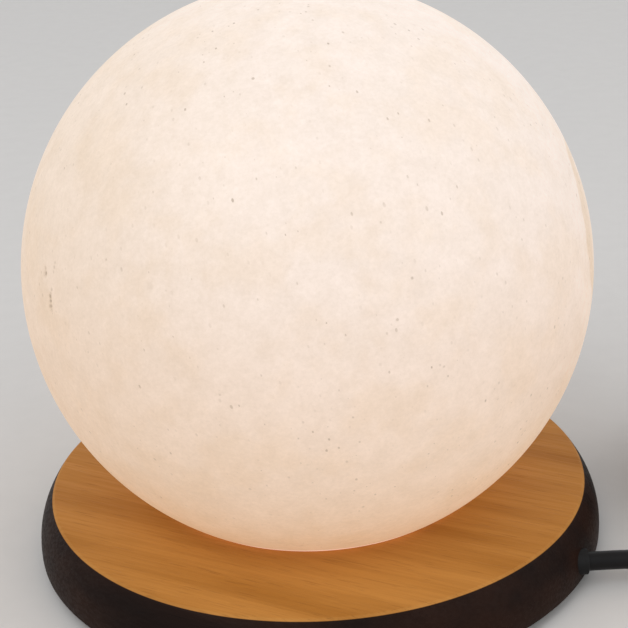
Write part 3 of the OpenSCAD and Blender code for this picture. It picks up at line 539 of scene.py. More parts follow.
@dataclass(frozen=True)
class Wood(Finish):
    """Oiled wood with its grain across the top, a painted highlight on the bevelled rim, and a side wall
    darkened with painted shade.
    """

    name: str
    top: float
    bevel: float
    grain_turn: float = 28.0
    pale: Colour = (0.50, 0.218, 0.046)
    deep: Colour = (0.36, 0.140, 0.021)
    # A lighter colour on the top's bevelled rim: a painted highlight.
    arris_highlight: Colour = (0.54, 0.275, 0.078)
    # The side wall's near-black colours are painted shade, not a stain of the wood.
    edge_shade_low: Colour = (0.0065, 0.0022, 0.0012)
    edge_shade_high: Colour = (0.019, 0.0065, 0.003)
    fibre: Colour = (0.34, 0.26, 0.20)
    pore: Colour = (0.2, 0.12, 0.07)
    arris_highlight_share: float = 0.15
    fibre_share: float = 0.14
    pore_share: float = 0.22
    gloss: float = 0.1
    depth: float = 0.00003

    def shade(self, tree: Tree, place: Socket) -> dict[str, object]:
        """The shader's inputs.

        Args:
            tree: the material's tree.
            place: the object's own coordinates.

        Returns:
            Values and sockets by the name of the shader's input.
        """
        grain = tree.effects(Effect.GRAINED, vector=tree.turned(place, turn=(0.0, 0.0, self.grain_turn)))
        streak = tree.remap(grain["Streak"], 0.25, 0.65)
        fibre, pore = tree.remap(grain["Fibre"], 0.3, 0.7), grain["Pore"]
        # The thin band at the top's bevelled rim gets the painted highlight.
        arris_highlight = self.below(tree, place, 0.35, 0.05)
        streaked = tree.mix(streak, self.deep, self.pale)
        face = tree.mix(tree.times(arris_highlight, self.arris_highlight_share), streaked, self.arris_highlight)
        # The side wall below the top takes the painted shade colours, streaked like the grain.
        edge = tree.mix(streak, self.edge_shade_low, self.edge_shade_high)
        colour = tree.mix(self.below(tree, place, 1.6, 1.2), face, edge)
        lined = tree.stain(colour, self.fibre, tree.times(fibre, self.fibre_share))
        return {
            "Base Color": tree.stain(lined, self.pore, tree.times(pore, self.pore_share)),
            "Roughness": tree.remap(fibre, 0.0, 1.0, (0.5, 0.62)),
            "Specular IOR Level": self.gloss,
            "Normal": tree.raised(tree.value("SUBTRACT", fibre, pore), self.depth),
        }

    def below(self, tree: Tree, place: Socket, whole: float, none: float) -> Socket:
        """1 where a place lies at least so many edge widths below the top, and 0 near the top."""
        low, high = self.top - whole * self.bevel, self.top - none * self.bevel
        return tree.remap(tree.axes(place)["Z"], low, high, (1.0, 0.0))


@dataclass(frozen=True)
class Mark:
    """A natural mark in the stone, at a longitude and latitude about the ball's centre, in millimetres."""

    longitude: float
    latitude: float
    width: float
    sunk: float
    shade: float

    @property
    def radius(self) -> float:
        """The mark's radius in metres."""
        return self.width * MM

    @property
    def depth(self) -> float:
        """How deep the mark is sunk, in metres."""
        return self.sunk * MM

    def centre(self, ball: Vector, radius: float) -> Vector:
        """The mark's place on the surface.

        Args:
            ball: the ball's centre.
            radius: the ball's radius.

        Returns:
            The mark's middle.
        """
        lon, lat = math.radians(self.longitude), math.radians(self.latitude)
        out = Vector((math.cos(lat) * math.cos(lon), math.cos(lat) * math.sin(lon), math.sin(lat)))
        return ball + radius * out


MARKS = tuple(Mark(*row) for row in (
    (-149.2, 13.2, 1.1, 0.4, 0.5),
    (-149.1, 12.2, 1.5, 0.6, 0.85),
    (-145.2, 15.4, 0.7, 0.0, 0.3),
    (-145.2, 14.5, 0.7, 0.0, 0.35),
    (-145.3, 13.6, 0.7, 0.0, 0.3),
    (-149.3, 8.0, 0.8, 0.0, 0.3),
    (-145.4, 10.2, 0.9, 0.0, 0.4),
    (-145.8, 9.4, 1.0, 0.0, 0.5),
    (-146.2, 8.6, 1.2, 0.4, 0.8),
    (-146.2, 7.8, 1.3, 0.5, 0.95),
    (-146.0, 7.0, 1.3, 0.5, 0.95),
    (-145.7, 6.3, 1.1, 0.3, 0.75),
    (-75.6, 27.2, 0.5, 0.0, 0.35),
    (-71.3, 17.2, 0.6, 0.0, 0.5),
    (-106.0, -1.5, 0.5, 0.0, 0.3),
    (-67.5, 1.2, 0.6, 0.0, 0.4),
    (-66.7, 0.7, 0.5, 0.0, 0.35),
    (-80.8, -29.1, 0.6, 0.0, 0.4),
    (-119.2, 16.6, 1.6, 0.0, 0.12),
    (-133.7, 1.6, 0.5, 0.0, 0.3),
    (-26.2, 12.7, 0.4, 0.0, 0.3),
    (-106.6, -7.5, 0.4, 0.0, 0.25),
    (-89.9, -17.0, 0.4, 0.0, 0.25),
    (-95.2, -46.8, 1.4, 0.0, 0.18),
    (-67.8, -9.6, 0.4, 0.0, 0.25),
    (-52.5, -16.2, 0.4, 0.0, 0.25),
    (-62.6, -15.1, 0.4, 0.0, 0.2),
    (72.0, 21.0, 0.7, 0.3, 0.45),
    (118.0, -8.0, 0.6, 0.0, 0.35),
    (161.0, 34.0, 1.2, 0.0, 0.15),
    (35.0, -24.0, 0.5, 0.0, 0.3),
))


@dataclass(frozen=True)
class Stone(Finish):
    """Honed translucent stone, lit through from inside and cloudy, with a band and natural marks."""

    name: str
    ball: Vector
    radius: float
    foot: float
    gloss: float = 0.4
    colour: Colour = (0.445, 0.38, 0.335)
    glow_high: Colour = (0.52, 0.465, 0.425)
    glow_middle: Colour = (0.505, 0.425, 0.372)
    glow_low: Colour = (0.475, 0.32, 0.20)
    glow_foot: Colour = (0.72, 0.47, 0.38)
    foot_rim: tuple[float, float] = (0.0009, 0.0016)
    ground_rim: tuple[float, float] = (0.0006, 0.0001)
    thick: Colour = (0.84, 0.76, 0.62)
    light_tint: Colour = (1.035, 1.035, 1.04)
    dark_tint: Colour = (0.945, 0.935, 0.915)
    grain_light: Colour = (1.045, 1.045, 1.05)
    grain_dark: Colour = (0.955, 0.95, 0.94)
    patch: Colour = (0.985, 0.966, 0.932)
    band: Colour = (0.90, 0.85, 0.76)
    band_place: Mark = Mark(-0.5, 9.0, 25.4, 0.0, 1.0)
    band_edge: float = 0.006
    band_softness: tuple[float, float] = (0.0014, 0.005)
    band_fade: tuple[float, float] = (-0.014, 0.016)
    speck: Colour = (0.28, 0.205, 0.12)
    depth: float = 0.00004

    def shade(self, tree: Tree, place: Socket) -> dict[str, object]:
        """The shader's inputs.

        Args:
            tree: the material's tree.
            place: the object's own coordinates.

        Returns:
            Values and sockets by the name of the shader's input.
        """
        tint = self.tint(tree, place)
        dark = self.marks(tree, place, self.specks(tree, place))
        height = tree.effect(Effect.RELIEF, vector=place, scale=900.0)
        return {
            "Base Color": tree.mix(dark, tree.stain(self.colour, tint), self.speck),
            "Emission Color": tree.mix(dark, tree.stain(self.glow(tree, place), tint), BLACK),
            "Emission Strength": 1.0,
            "Roughness": tree.remap(tree.clouds(place, 700.0, 1.0), 0.3, 0.7, (0.42, 0.54)),
            "Specular IOR Level": self.gloss,
            "Normal": tree.raised(tree.value("SUBTRACT", height, dark), self.depth),
        }

    def specks(self, tree: Tree, place: Socket) -> Socket:
        """Grey specks of two sizes, that stand closer together in some places than in others.

        Args:
            tree: the material's tree.
            place: the object's own coordinates.

        Returns:
            How dark the specks are at each place.
        """
        coarse = tree.effect(Effect.SPECKED, vector=place, scale=170.0, size=0.09, amount=0.7)
        longer = tree.turned(place, (1.0, 1.0, 0.55), (25.0, 15.0, 0.0))
        fine = tree.effect(Effect.SPECKED, vector=longer, scale=680.0, size=0.29, amount=0.8)
        crowded = tree.remap(tree.clouds(place, 70.0, 2.0), 0.35, 0.7, (0.14, 0.55))
        return tree.value("MAXIMUM", tree.times(coarse, 0.5), tree.times(fine, crowded))

    def tint(self, tree: Tree, place: Socket) -> Socket:
        """The cloudy mottling, fine and coarse, that dims the stone and its glow alike.

        Args:
            tree: the material's tree.
            place: the object's own coordinates.

        Returns:
            The colour that the stone is multiplied by.
        """
        clouds = tree.clouds(place, 170.0, 2.2, detail=4.0, evenness=0.7)
        mottle = tree.mix(clouds, self.dark_tint, self.light_tint)
        grain = tree.mix(tree.clouds(place, 1000.0, 2.0, evenness=0.7), self.grain_dark, self.grain_light)
        veil = tree.remap(tree.clouds(place, 60.0, 2.6, detail=4.0), 0.35, 0.9)
        patched = tree.stain(tree.stain(mottle, grain), self.patch, veil)
        return tree.stain(patched, self.band, self.banded(tree, place))

    def glow(self, tree: Tree, place: Socket) -> Socket:
        """The light of the bulb through the stone.

        Args:
            tree: the material's tree.
            place: the object's own coordinates.

        Returns:
            The colour, warmer low down, where the stone is thickest, and at the rim that is ground flat.
        """
        at, middle, low, radius = tree.axes(place), self.ball.z, self.foot, self.radius
        upper = tree.remap(at["Z"], middle - 0.1 * radius, middle + radius)
        lower = tree.remap(at["Z"], low + 0.1 * radius, middle + 0.45 * radius)
        glow = tree.mix(lower, self.glow_low, tree.mix(upper, self.glow_middle, self.glow_high))
        warmed = tree.stain(glow, self.thick, tree.remap(at["X"], 0.1 * radius, -1.05 * radius))
        foot = tree.remap(at["Z"], low + self.foot_rim[0], low + self.foot_rim[1], (1.0, 0.0))
        ground = math.sqrt(radius**2 - (middle - low) ** 2)
        across = tree.distance(tree.turned(place, (1.0, 1.0, 0.0)), ORIGIN)
        outer = tree.remap(across, ground - self.ground_rim[0], ground - self.ground_rim[1])
        return tree.mix(tree.times(foot, outer), warmed, self.glow_foot)

    def marks(self, tree: Tree, place: Socket, start: Socket) -> Socket:
        """How dark the marks are at each place, on top of a first darkness.

        Args:
            tree: the material's tree.
            place: the object's own coordinates.
            start: the first darkness.

        Returns:
            The darkness with the marks in it.
        """
        total = start
        for mark in MARKS:
            spot = self.spot(tree, place, mark, 0.4 * mark.radius, mark.radius)
            total = tree.value("MAXIMUM", total, tree.times(spot, mark.shade))
        return total

    def spot(self, tree: Tree, place: Socket, mark: Mark, radius: float, softness: float) -> Socket:
        """A round spot at a mark's place."""
        centre = tuple(mark.centre(self.ball, self.radius))
        return tree.effect(Effect.MARKED, vector=place, centre=centre, radius=radius, softness=softness)

    def banded(self, tree: Tree, place: Socket) -> Socket:
        """The warmer patch of another layer of the stone, darkest at its edge, that fades to the back.

        Args:
            tree: the material's tree.
            place: the object's own coordinates.

        Returns:
            How much of the patch is at each place.
        """
        lens, bent = self.band_place, tree.swayed(place, place, 55.0, 2.0, 0.5)
        whole = self.spot(tree, bent, lens, lens.radius, self.band_softness[0])
        inner = self.spot(tree, bent, lens, lens.radius - self.band_edge, self.band_softness[1])
        patch = tree.times(whole, tree.remap(inner, 0.0, 1.0, (1.0, 0.45)))
        return tree.times(patch, tree.remap(tree.axes(place)["Y"], *self.band_fade, (1.0, 0.0)))


class Outline:
    """A line drawn in the X-Z plane, with straight and round stretches, to be turned or drawn out."""

    def __init__(self, x: float, z: float) -> None:
        """Starts at a point.

        Args:
            x: the X of the first point.
            z: its Z.
        """
        self.shape = bmesh.new()
        self.first = self.tip = self.shape.verts.new((x, 0.0, z))
        self.corners: dict[float, list[bmesh.types.BMVert]] = {}

    def to(self, *points: Sequence[float]) -> "Outline":
        """Straight stretches from point to point.

        Args:
            points: each an X and a Z, and the radius of its corner where that is rounded.

        Returns:
            The outline.
        """
        for x, z, *corner in points:
            self.tip = bmesh.ops.extrude_vert_indiv(self.shape, verts=[self.tip])["verts"][0]
            self.tip.co = (x, 0.0, z)
            for radius in corner:
                self.corners.setdefault(radius, []).append(self.tip)
        return self

    def round(self, x: float, z: float, degrees: float, steps: int) -> "Outline":
        """A round stretch.

        Args:
            x: the X of its centre.
            z: the Z of its centre.
            degrees: its angle, which is positive from +X towards +Z.
            steps: how many steps it has.

        Returns:
            The outline.
        """
        found = bmesh.ops.spin(
            self.shape, geom=[self.tip], cent=(x, 0.0, z), axis=(0.0, -1.0, 0.0),
            angle=math.radians(degrees), steps=steps, use_merge=False,
        )
        self.tip = next(item for item in found["geom_last"] if isinstance(item, bmesh.types.BMVert))
        return self

    def face(self, segments: int = 6) -> Shape:
        """The closed outline as one flat face.

        Args:
            segments: how many segments a rounded corner has.

        Returns:
            The face.
        """
        bmesh.ops.remove_doubles(self.shape, verts=self.shape.verts, dist=NEAR)
        ends = [vert for vert in self.shape.verts if len(vert.link_edges) == 1]
        if len(ends) == 2:
            self.shape.edges.new(ends)
        bmesh.ops.contextual_create(self.shape, geom=self.shape.edges[:])
        for radius, verts in sorted(self.corners.items()):
            bmesh.ops.bevel(
                self.shape, geom=[vert for vert in verts if vert.is_valid], offset=radius,
                offset_type="OFFSET", segments=segments, profile=0.5, affect="VERTICES", material=-1,
            )
        return self.shape

    def turned(
        self, steps: int = SMALL_ROUND, segments: int = 6, closed: bool = True, axis: Point = ALONG_Z
    ) -> Shape:
        """The outline turned once about an axis through the origin.

        Args:
            steps: how many steps the turn has.
            segments: how many segments a rounded corner has.
            closed: whether the outline's two ends are joined first.
            axis: the axis, along X or Z.

        Returns:
            The turned shape.
        """
        if closed:
            self.face(segments)
            bmesh.ops.delete(self.shape, geom=self.shape.faces[:], context="FACES_ONLY")
        across = 2 if axis[0] else 0
        on_axis = [e for e in self.shape.edges if all(abs(v.co[across]) < NEAR for v in e.verts)]
        bmesh.ops.delete(self.shape, geom=on_axis, context="EDGES")
        bmesh.ops.spin(
            self.shape, geom=self.shape.verts[:] + self.shape.edges[:], cent=ORIGIN, axis=axis,
            angle=2 * math.pi, steps=steps, use_merge=True,
        )
        bmesh.ops.remove_doubles(self.shape, verts=self.shape.verts, dist=NEAR)
        return self.shape


def moved(shape: Shape, offset: Sequence[float]) -> Shape:
    """A shape moved by an offset."""
    bmesh.ops.translate(shape, verts=shape.verts, vec=Vector(offset))
    return shape


def tilted(shape: Shape, degrees: float, axis: str) -> Shape:
    """A shape turned about an axis through the origin."""
    bmesh.ops.rotate(shape, verts=shape.verts, matrix=Matrix.Rotation(math.radians(degrees), 3, axis))
    return shape


def drawn_out(shape: Shape, offset: Sequence[float]) -> Shape:
    """Draws a flat face out into a solid.

    Args:
        shape: the face.
        offset: how far and which way.

    Returns:
        The solid, with its faces outward.
    """
    found = bmesh.ops.extrude_face_region(shape, geom=shape.faces[:], use_keep_orig=True)
    verts = [item for item in found["geom"] if isinstance(item, bmesh.types.BMVert)]
    bmesh.ops.translate(shape, verts=verts, vec=Vector(offset))
    bmesh.ops.recalc_face_normals(shape, faces=shape.faces)
    return shape


def softened(
    shape: Shape, chosen: Callable[[Vector, Vector], bool], radius: float, segments: int = 3
) -> Shape:
    """Rounds some of the edges that turn a corner.

    Args:
        shape: the shape.
        chosen: says of an edge's two ends whether it is rounded.
        radius: the radius of the rounding.
        segments: how many segments it has.

    Returns:
        The shape.
    """
    shape.normal_update()
    edges = [
        e for e in shape.edges
        if chosen(e.verts[0].co, e.verts[1].co) and (not e.is_manifold or e.calc_face_angle(0.0) > CORNER)
    ]
    bmesh.ops.bevel(
        shape, geom=edges, offset=radius, offset_type="OFFSET", segments=segments, profile=0.5,
        affect="EDGES", material=-1, clamp_overlap=True,
    )
    shape.normal_update()
    return shape


def rod(start: Vector, end: Vector, radius: float, sides: int = SMALL_ROUND) -> Shape:
    """A round rod between two points.

    Args:
        start: the middle of one end.
        end: the middle of the other end.
        radius: half its thickness.
        sides: how many sides its round has.

    Returns:
        The rod.
    """
    shape = bmesh.new()
    way = end - start
    turn = way.to_track_quat("Z", "Y").to_matrix().to_4x4()
    bmesh.ops.create_cone(
        shape, cap_ends=True, segments=sides, radius1=radius, radius2=radius, depth=way.length,
        matrix=Matrix.Translation((start + end) / 2) @ turn,
    )
    return shape


def block(size: Sequence[float], place: Matrix) -> Shape:
    """A block of a size, about its middle, at a place.

    Args:
        size: how long, wide and high it is.
        place: where its middle is, and its turn.

    Returns:
        The block.
    """
    shape = bmesh.new()
    bmesh.ops.create_cube(shape, size=1.0, matrix=place @ Matrix.Diagonal((*size, 1.0)))
    return shape


def piece_of(name: str, shapes: Iterable[Shape], sharp: float = SMOOTH_SHARP) -> Piece:
    """Makes one object of finished shapes.

    Args:
        name: the piece's name.
        shapes: the shapes that it is made of, which are freed.
        sharp: the angle in degrees past which an edge looks sharp.

    Returns:
        The object, at the origin, with its place in its mesh.
    """
    mesh = bpy.data.meshes.new(name)
    joined = bmesh.new()
    for shape in shapes:
        bmesh.ops.recalc_face_normals(shape, faces=shape.faces)
        part = bpy.data.meshes.new("part")
        shape.to_mesh(part)
        shape.free()
        joined.from_mesh(part)
        bpy.data.meshes.remove(part)
    joined.to_mesh(mesh)
    joined.free()
    return linked(bpy.data.objects.new(name, smooth(mesh, sharp)))


def smooth(mesh: bpy.types.Mesh, sharp: float) -> bpy.types.Mesh:
    """Makes a mesh look smooth, but for the edges past an angle in degrees.

    Args:
        mesh: the mesh.
        sharp: the angle past which an edge looks sharp.

    Returns:
        The mesh.
    """
    mesh.shade_smooth()
    mesh.set_sharp_from_angle(angle=math.radians(sharp))
    return mesh


def linked(thing: Piece) -> Piece:
    """Puts a new object into the scene."""
    bpy.context.scene.collection.objects.link(thing)
    return thing


def taken(piece: Piece) -> Shape:
    """The mesh of an object as a shape, with the object gone.

    Args:
        piece: the object.

    Returns:
        Its shape.
    """
    shape = bmesh.new()
    shape.from_mesh(piece.data)
    bpy.data.objects.remove(piece)
    return shape


def settle(piece: Piece, sharp: float = SMOOTH_SHARP) -> Piece:
    """Applies a piece's modifiers to its mesh.

    Args:
        piece: the piece.
        sharp: the angle in degrees past which an edge looks sharp.

    Returns:
        The piece.
    """
    bpy.context.view_layer.update()
    found = piece.evaluated_get(bpy.context.evaluated_depsgraph_get())
    mesh = bpy.data.meshes.new_from_object(found)
    piece.modifiers.clear()
    piece.data = smooth(mesh, sharp)
    mesh.name = piece.name
    return piece


def walled(piece: Piece, thickness: float, offset: float = INWARD, even: bool = False) -> Piece:
    """Gives a sheet a wall, which is still to be settled.

    Args:
        piece: the sheet.
        thickness: the wall's thickness.
        offset: whether the wall lies inward or outward of the sheet.
        even: whether corners keep the thickness too.

    Returns:
        The piece.
    """
    wall = piece.modifiers.new("wall", "SOLIDIFY")
    wall.thickness, wall.offset, wall.use_even_offset = thickness, offset, even
    return piece


def drilled(piece: Piece, holes: Sequence[Shape], sharp: float = SMOOTH_SHARP) -> Piece:
    """Cuts holes of given shapes through a piece, with the modifiers that it has applied first.

    Args:
        piece: the piece.
        holes: the shapes of the holes.
        sharp: the angle in degrees past which an edge looks sharp.

    Returns:
        The piece.
    """
    cutters = [piece_of(f"{piece.name}_cutter", [hole]) for hole in holes]
    for cutter in cutters:
        cut = piece.modifiers.new("hole", "BOOLEAN")
        cut.operation, cut.solver, cut.object = "DIFFERENCE", "EXACT", cutter
    settle(piece, sharp)
    for cutter in cutters:
        bpy.data.objects.remove(cutter)
    return piece


def tube(
    name: str, points: Sequence[Sequence[float]], radius: float, sides: int = 5, steps: int = 6
) -> Piece:
    """A round cord or wire along one smooth open line.

    Args:
        name: the piece's name.
        points: the points that the line passes through, in metres.
        radius: half its thickness.
        sides: the bevel resolution of its round.
        steps: how many steps there are between two points.

    Returns:
        The curve object.
    """
    curve = bpy.data.curves.new(name, "CURVE")
    curve.dimensions = "3D"
    curve.bevel_depth = radius
    curve.bevel_resolution = sides
    curve.resolution_u = curve.render_resolution_u = steps
    curve.use_fill_caps = True
    line = curve.splines.new("BEZIER")
    line.bezier_points.add(len(points) - 1)
    for knot, point in zip(line.bezier_points, points):
        knot.co = point
        knot.handle_left_type = knot.handle_right_type = "AUTO"
    return linked(bpy.data.objects.new(name, curve))


def dress(
    piece: Piece, finish: Finish, nodes: Sequence[str] = (), body: Body = Body.BASE
) -> Piece:
    """Finishes a new piece.

    Args:
        piece: the piece.
        finish: its finish.
        nodes: the nodes that it stands for.
        body: the body that it rides on.

    Returns:
        The piece.
    """
    piece.data.materials.clear()
    piece.data.materials.append(finish.material())
    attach(piece, body.value)
    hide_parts(*nodes)
    LOG.info("made %s on %s", piece.name, body.value)
    return piece


def keep(finish: Finish, *nodes: str) -> None:
    """Gives nodes whose shape is right as it is their finish.

    Args:
        finish: the finish.
        nodes: the names of the nodes.
    """
    for name in nodes:
        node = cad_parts[name]
        node.data.materials.clear()
        node.data.materials.append(finish.material())
        LOG.info("kept %s", name)


@dataclass(frozen=True)
class SoftLight:
    """A soft square light."""

    name: str
    place: Point
    size: float
    power: float


@dataclass(frozen=True)
class Studio:
    """The camera at the photograph's viewing angle, a pale floor and soft light."""

    eye: Point = (0.0011, -0.3736, 0.2215)
    aim: Point = (0.0011, 0.0, 0.06525)
    roll: float = -2.72
    lens: float = 86.0
    sensor: float = 36.0
    floor_size: float = 40.0
    floor_colour: Colour = (0.64, 0.625, 0.605)
    sky: Colour = (0.74, 0.745, 0.76)
    key: SoftLight = SoftLight("key", (-0.9, -1.0, 1.6), 1.2, 11.0)
    fill: SoftLight = SoftLight("fill", (1.3, -0.8, 0.9), 1.4, 5.5)

    def camera(self) -> None:
        """Makes the camera, with the roll that the photograph has."""
        eye = Vector(self.eye)
        ahead = (Vector(self.aim) - eye).normalized()
        right = ahead.cross(Vector(ALONG_Z)).normalized()
        up = right.cross(ahead)
        a = math.radians(self.roll)
        side, top = math.cos(a) * right + math.sin(a) * up, math.cos(a) * up - math.sin(a) * right
        data = bpy.data.cameras.new("camera")
        data.lens, data.sensor_width = self.lens, self.sensor
        camera = linked(bpy.data.objects.new("camera", data))
        turn = Matrix((side, top, -ahead)).transposed().to_4x4()
        camera.matrix_world = Matrix.Translation(eye) @ turn
        bpy.context.scene.camera = camera

    def floor(self) -> None:
        """Makes the pale floor."""
        shape = bmesh.new()
        bmesh.ops.create_grid(shape, x_segments=1, y_segments=1, size=self.floor_size / 2)
        floor = piece_of("floor", [shape])
        paper = Moulded("floor_paper", self.floor_colour, 0.8, 0.02, 300.0, 0.00001)
        floor.data.materials.append(paper.material())

    def shine(self, light: SoftLight) -> None:
        """Makes one soft square light that faces the object.

        Args:
            light: the light.
        """
        data = bpy.data.lights.new(light.name, "AREA")
        data.size, data.energy = light.size, light.power
        turn = (Vector(self.aim) - Vector(light.place)).to_track_quat("-Z", "Y").to_matrix().to_4x4()
        lamp = linked(bpy.data.objects.new(light.name, data))
        lamp.matrix_world = Matrix.Translation(light.place) @ turn

    def build(self) -> None:
        """Makes the whole studio."""
        scene = bpy.context.scene
        scene.view_settings.view_transform = "Standard"
        self.camera()
        world = bpy.data.worlds.new("studio")
        scene.world = world
        world.use_nodes = True
        world.node_tree.nodes["Background"].inputs["Color"].default_value = (*self.sky, 1.0)
        self.floor()
        self.shine(self.key)
        self.shine(self.fill)


# A moulding has its colour, its roughness, how uneven its colour is, and its texture's closeness and depth.
LEAD_PLASTIC = Moulded("lead_pvc", (0.0042, 0.0036, 0.0038), 0.38, 0.2, 1600.0, 0.000012, gloss=0.2)
BLACK_PLASTIC = Moulded("black_moulding", (0.0075, 0.007, 0.0073), 0.44, 0.2, 1400.0, 0.00002, gloss=0.28)
ROCKER_PLASTIC = Moulded("rocker_moulding", (0.014, 0.013, 0.013), 0.26, 0.2, 1800.0, 0.000008)
MARK_PAINT = Moulded("white_mark", (0.62, 0.61, 0.58), 0.5, 0.04)
HOLDER_PLASTIC = Moulded("holder_bakelite", (0.013, 0.011, 0.010), 0.3, 0.25, 700.0, 0.00002, coat=0.15)
BUSHING_RUBBER = Moulded("bushing_rubber", (0.007, 0.0065, 0.0065), 0.6, 0.25, 1500.0, 0.00003, gloss=0.2)
FOOT_RUBBER = Moulded("foot_rubber", (0.02, 0.019, 0.018), 0.7, 0.25, 1100.0, 0.00004)
COVER_BOARD = Moulded("cover_board", (0.022, 0.018, 0.015), 0.75, 0.3, 500.0, 0.00006)
CERAMIC = Moulded("steatite", (0.66, 0.62, 0.54), 0.35, 0.05, 400.0, 0.00003, coat=0.2)
CLAMP_PLASTIC = Moulded("clamp_nylon", (0.60, 0.58, 0.53), 0.45, 0.05, 900.0, 0.00002)
VITRITE = Moulded("black_glass", (0.012, 0.010, 0.016), 0.12, 0.2, 300.0, 0.00002)
BROWN_CORE = Moulded("brown_insulation", (0.11, 0.045, 0.02), 0.4, 0.12, 1800.0, 0.00001)
BLUE_CORE = Moulded("blue_insulation", (0.02, 0.08, 0.32), 0.4, 0.12, 1800.0, 0.00001)
STRAP = Moulded("tie_nylon", (0.018, 0.018, 0.02), 0.6, 0.3, 2600.0, 0.00006)

# A metal has its colour, its roughness, how close its marks lie along each axis, and its tarnish.
BRASS = Metal("brass", (0.80, 0.57, 0.25), 0.28)
ZINC = Metal("zinc_plate", (0.62, 0.62, 0.60), 0.36, (900.0, 900.0, 3000.0), 0.3)
NICKEL = Metal("nickel_plate", (0.72, 0.70, 0.66), 0.2, (5000.0, 400.0, 400.0), 0.15)
TIN = Metal("cap_metal", (0.74, 0.74, 0.73), 0.3, (300.0, 300.0, 4000.0), 0.2)
SOLDER = Metal("solder", (0.56, 0.56, 0.58), 0.38, (900.0, 900.0, 900.0), 0.3)
GLASS = ClearGlass("clear_glass")


@dataclass(frozen=True)
class StoneBall:
    """The honed ball, flat underneath, with a blind bore for the bulb.

    About each deep mark, as far as so many of its radii, no edge of the mesh is longer than a share
    of its radius.
    """

    bore: float = 0.021
    bore_depth: float = 0.096
    bore_break: float = 0.0015
    steps: int = 256
    arc_steps: int = 120
    rounds: int = 3
    finer_radii: float = 4.0
    longest_share: float = 0.4
    dent_share: float = 0.8
    skin: float = 0.00005
    dented_below: float = 0.5

    def build(self) -> None:
        """Makes the ball and its marks."""
        low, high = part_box("salt_sphere")
        radius, foot = (high.x - low.x) / 2, low.z
        ball = Vector((0.0, 0.0, high.z - radius))
        sweep = 90.0 + math.degrees(math.asin((ball.z - foot) / radius))
        outline = Outline(0.0, high.z).round(0.0, ball.z, -sweep, self.arc_steps)
        top = foot + self.bore_depth
        outline.to((self.bore + self.bore_break, foot), (self.bore, foot + self.bore_break))
        shape = outline.to((self.bore, top), (0.0, top)).turned(self.steps, closed=False)
        self.dent(shape, ball, radius)
        finish = Stone("honed_stone", ball, radius, foot)
        dress(piece_of("stone_ball", [shape]), finish, ["salt_sphere"], Body.SPHERE)

    def dent(self, shape: Shape, ball: Vector, radius: float) -> None:
        """Makes the mesh finer about the deep marks and sinks them into it.

        Args:
            shape: the ball's shape.
            ball: the ball's centre.
            radius: the ball's radius.
        """
        deep = [(mark, mark.centre(ball, radius)) for mark in MARKS if mark.depth]
        for mark, centre in deep:
            for _ in range(self.rounds):
                edges = [
                    e for e in shape.edges
                    if ((e.verts[0].co + e.verts[1].co) / 2 - centre).length < self.finer_radii * mark.radius
                    and e.calc_length() > self.longest_share * mark.radius
                ]
                bmesh.ops.subdivide_edges(shape, edges=edges, cuts=1, use_grid_fill=True)
        for vert in shape.verts:
            out = vert.co - ball
            if abs(out.length - radius) < self.skin and out.z > -self.dented_below * radius:
                sunk = max(m.depth * self.fall((vert.co - centre).length / m.radius) for m, centre in deep)
                vert.co = ball + out.normalized() * (radius - sunk)

    def fall(self, away: float) -> float:
        """The share of a dent's depth at so many of its radii from its middle."""
        return math.exp(-((away / self.dent_share) ** 2))


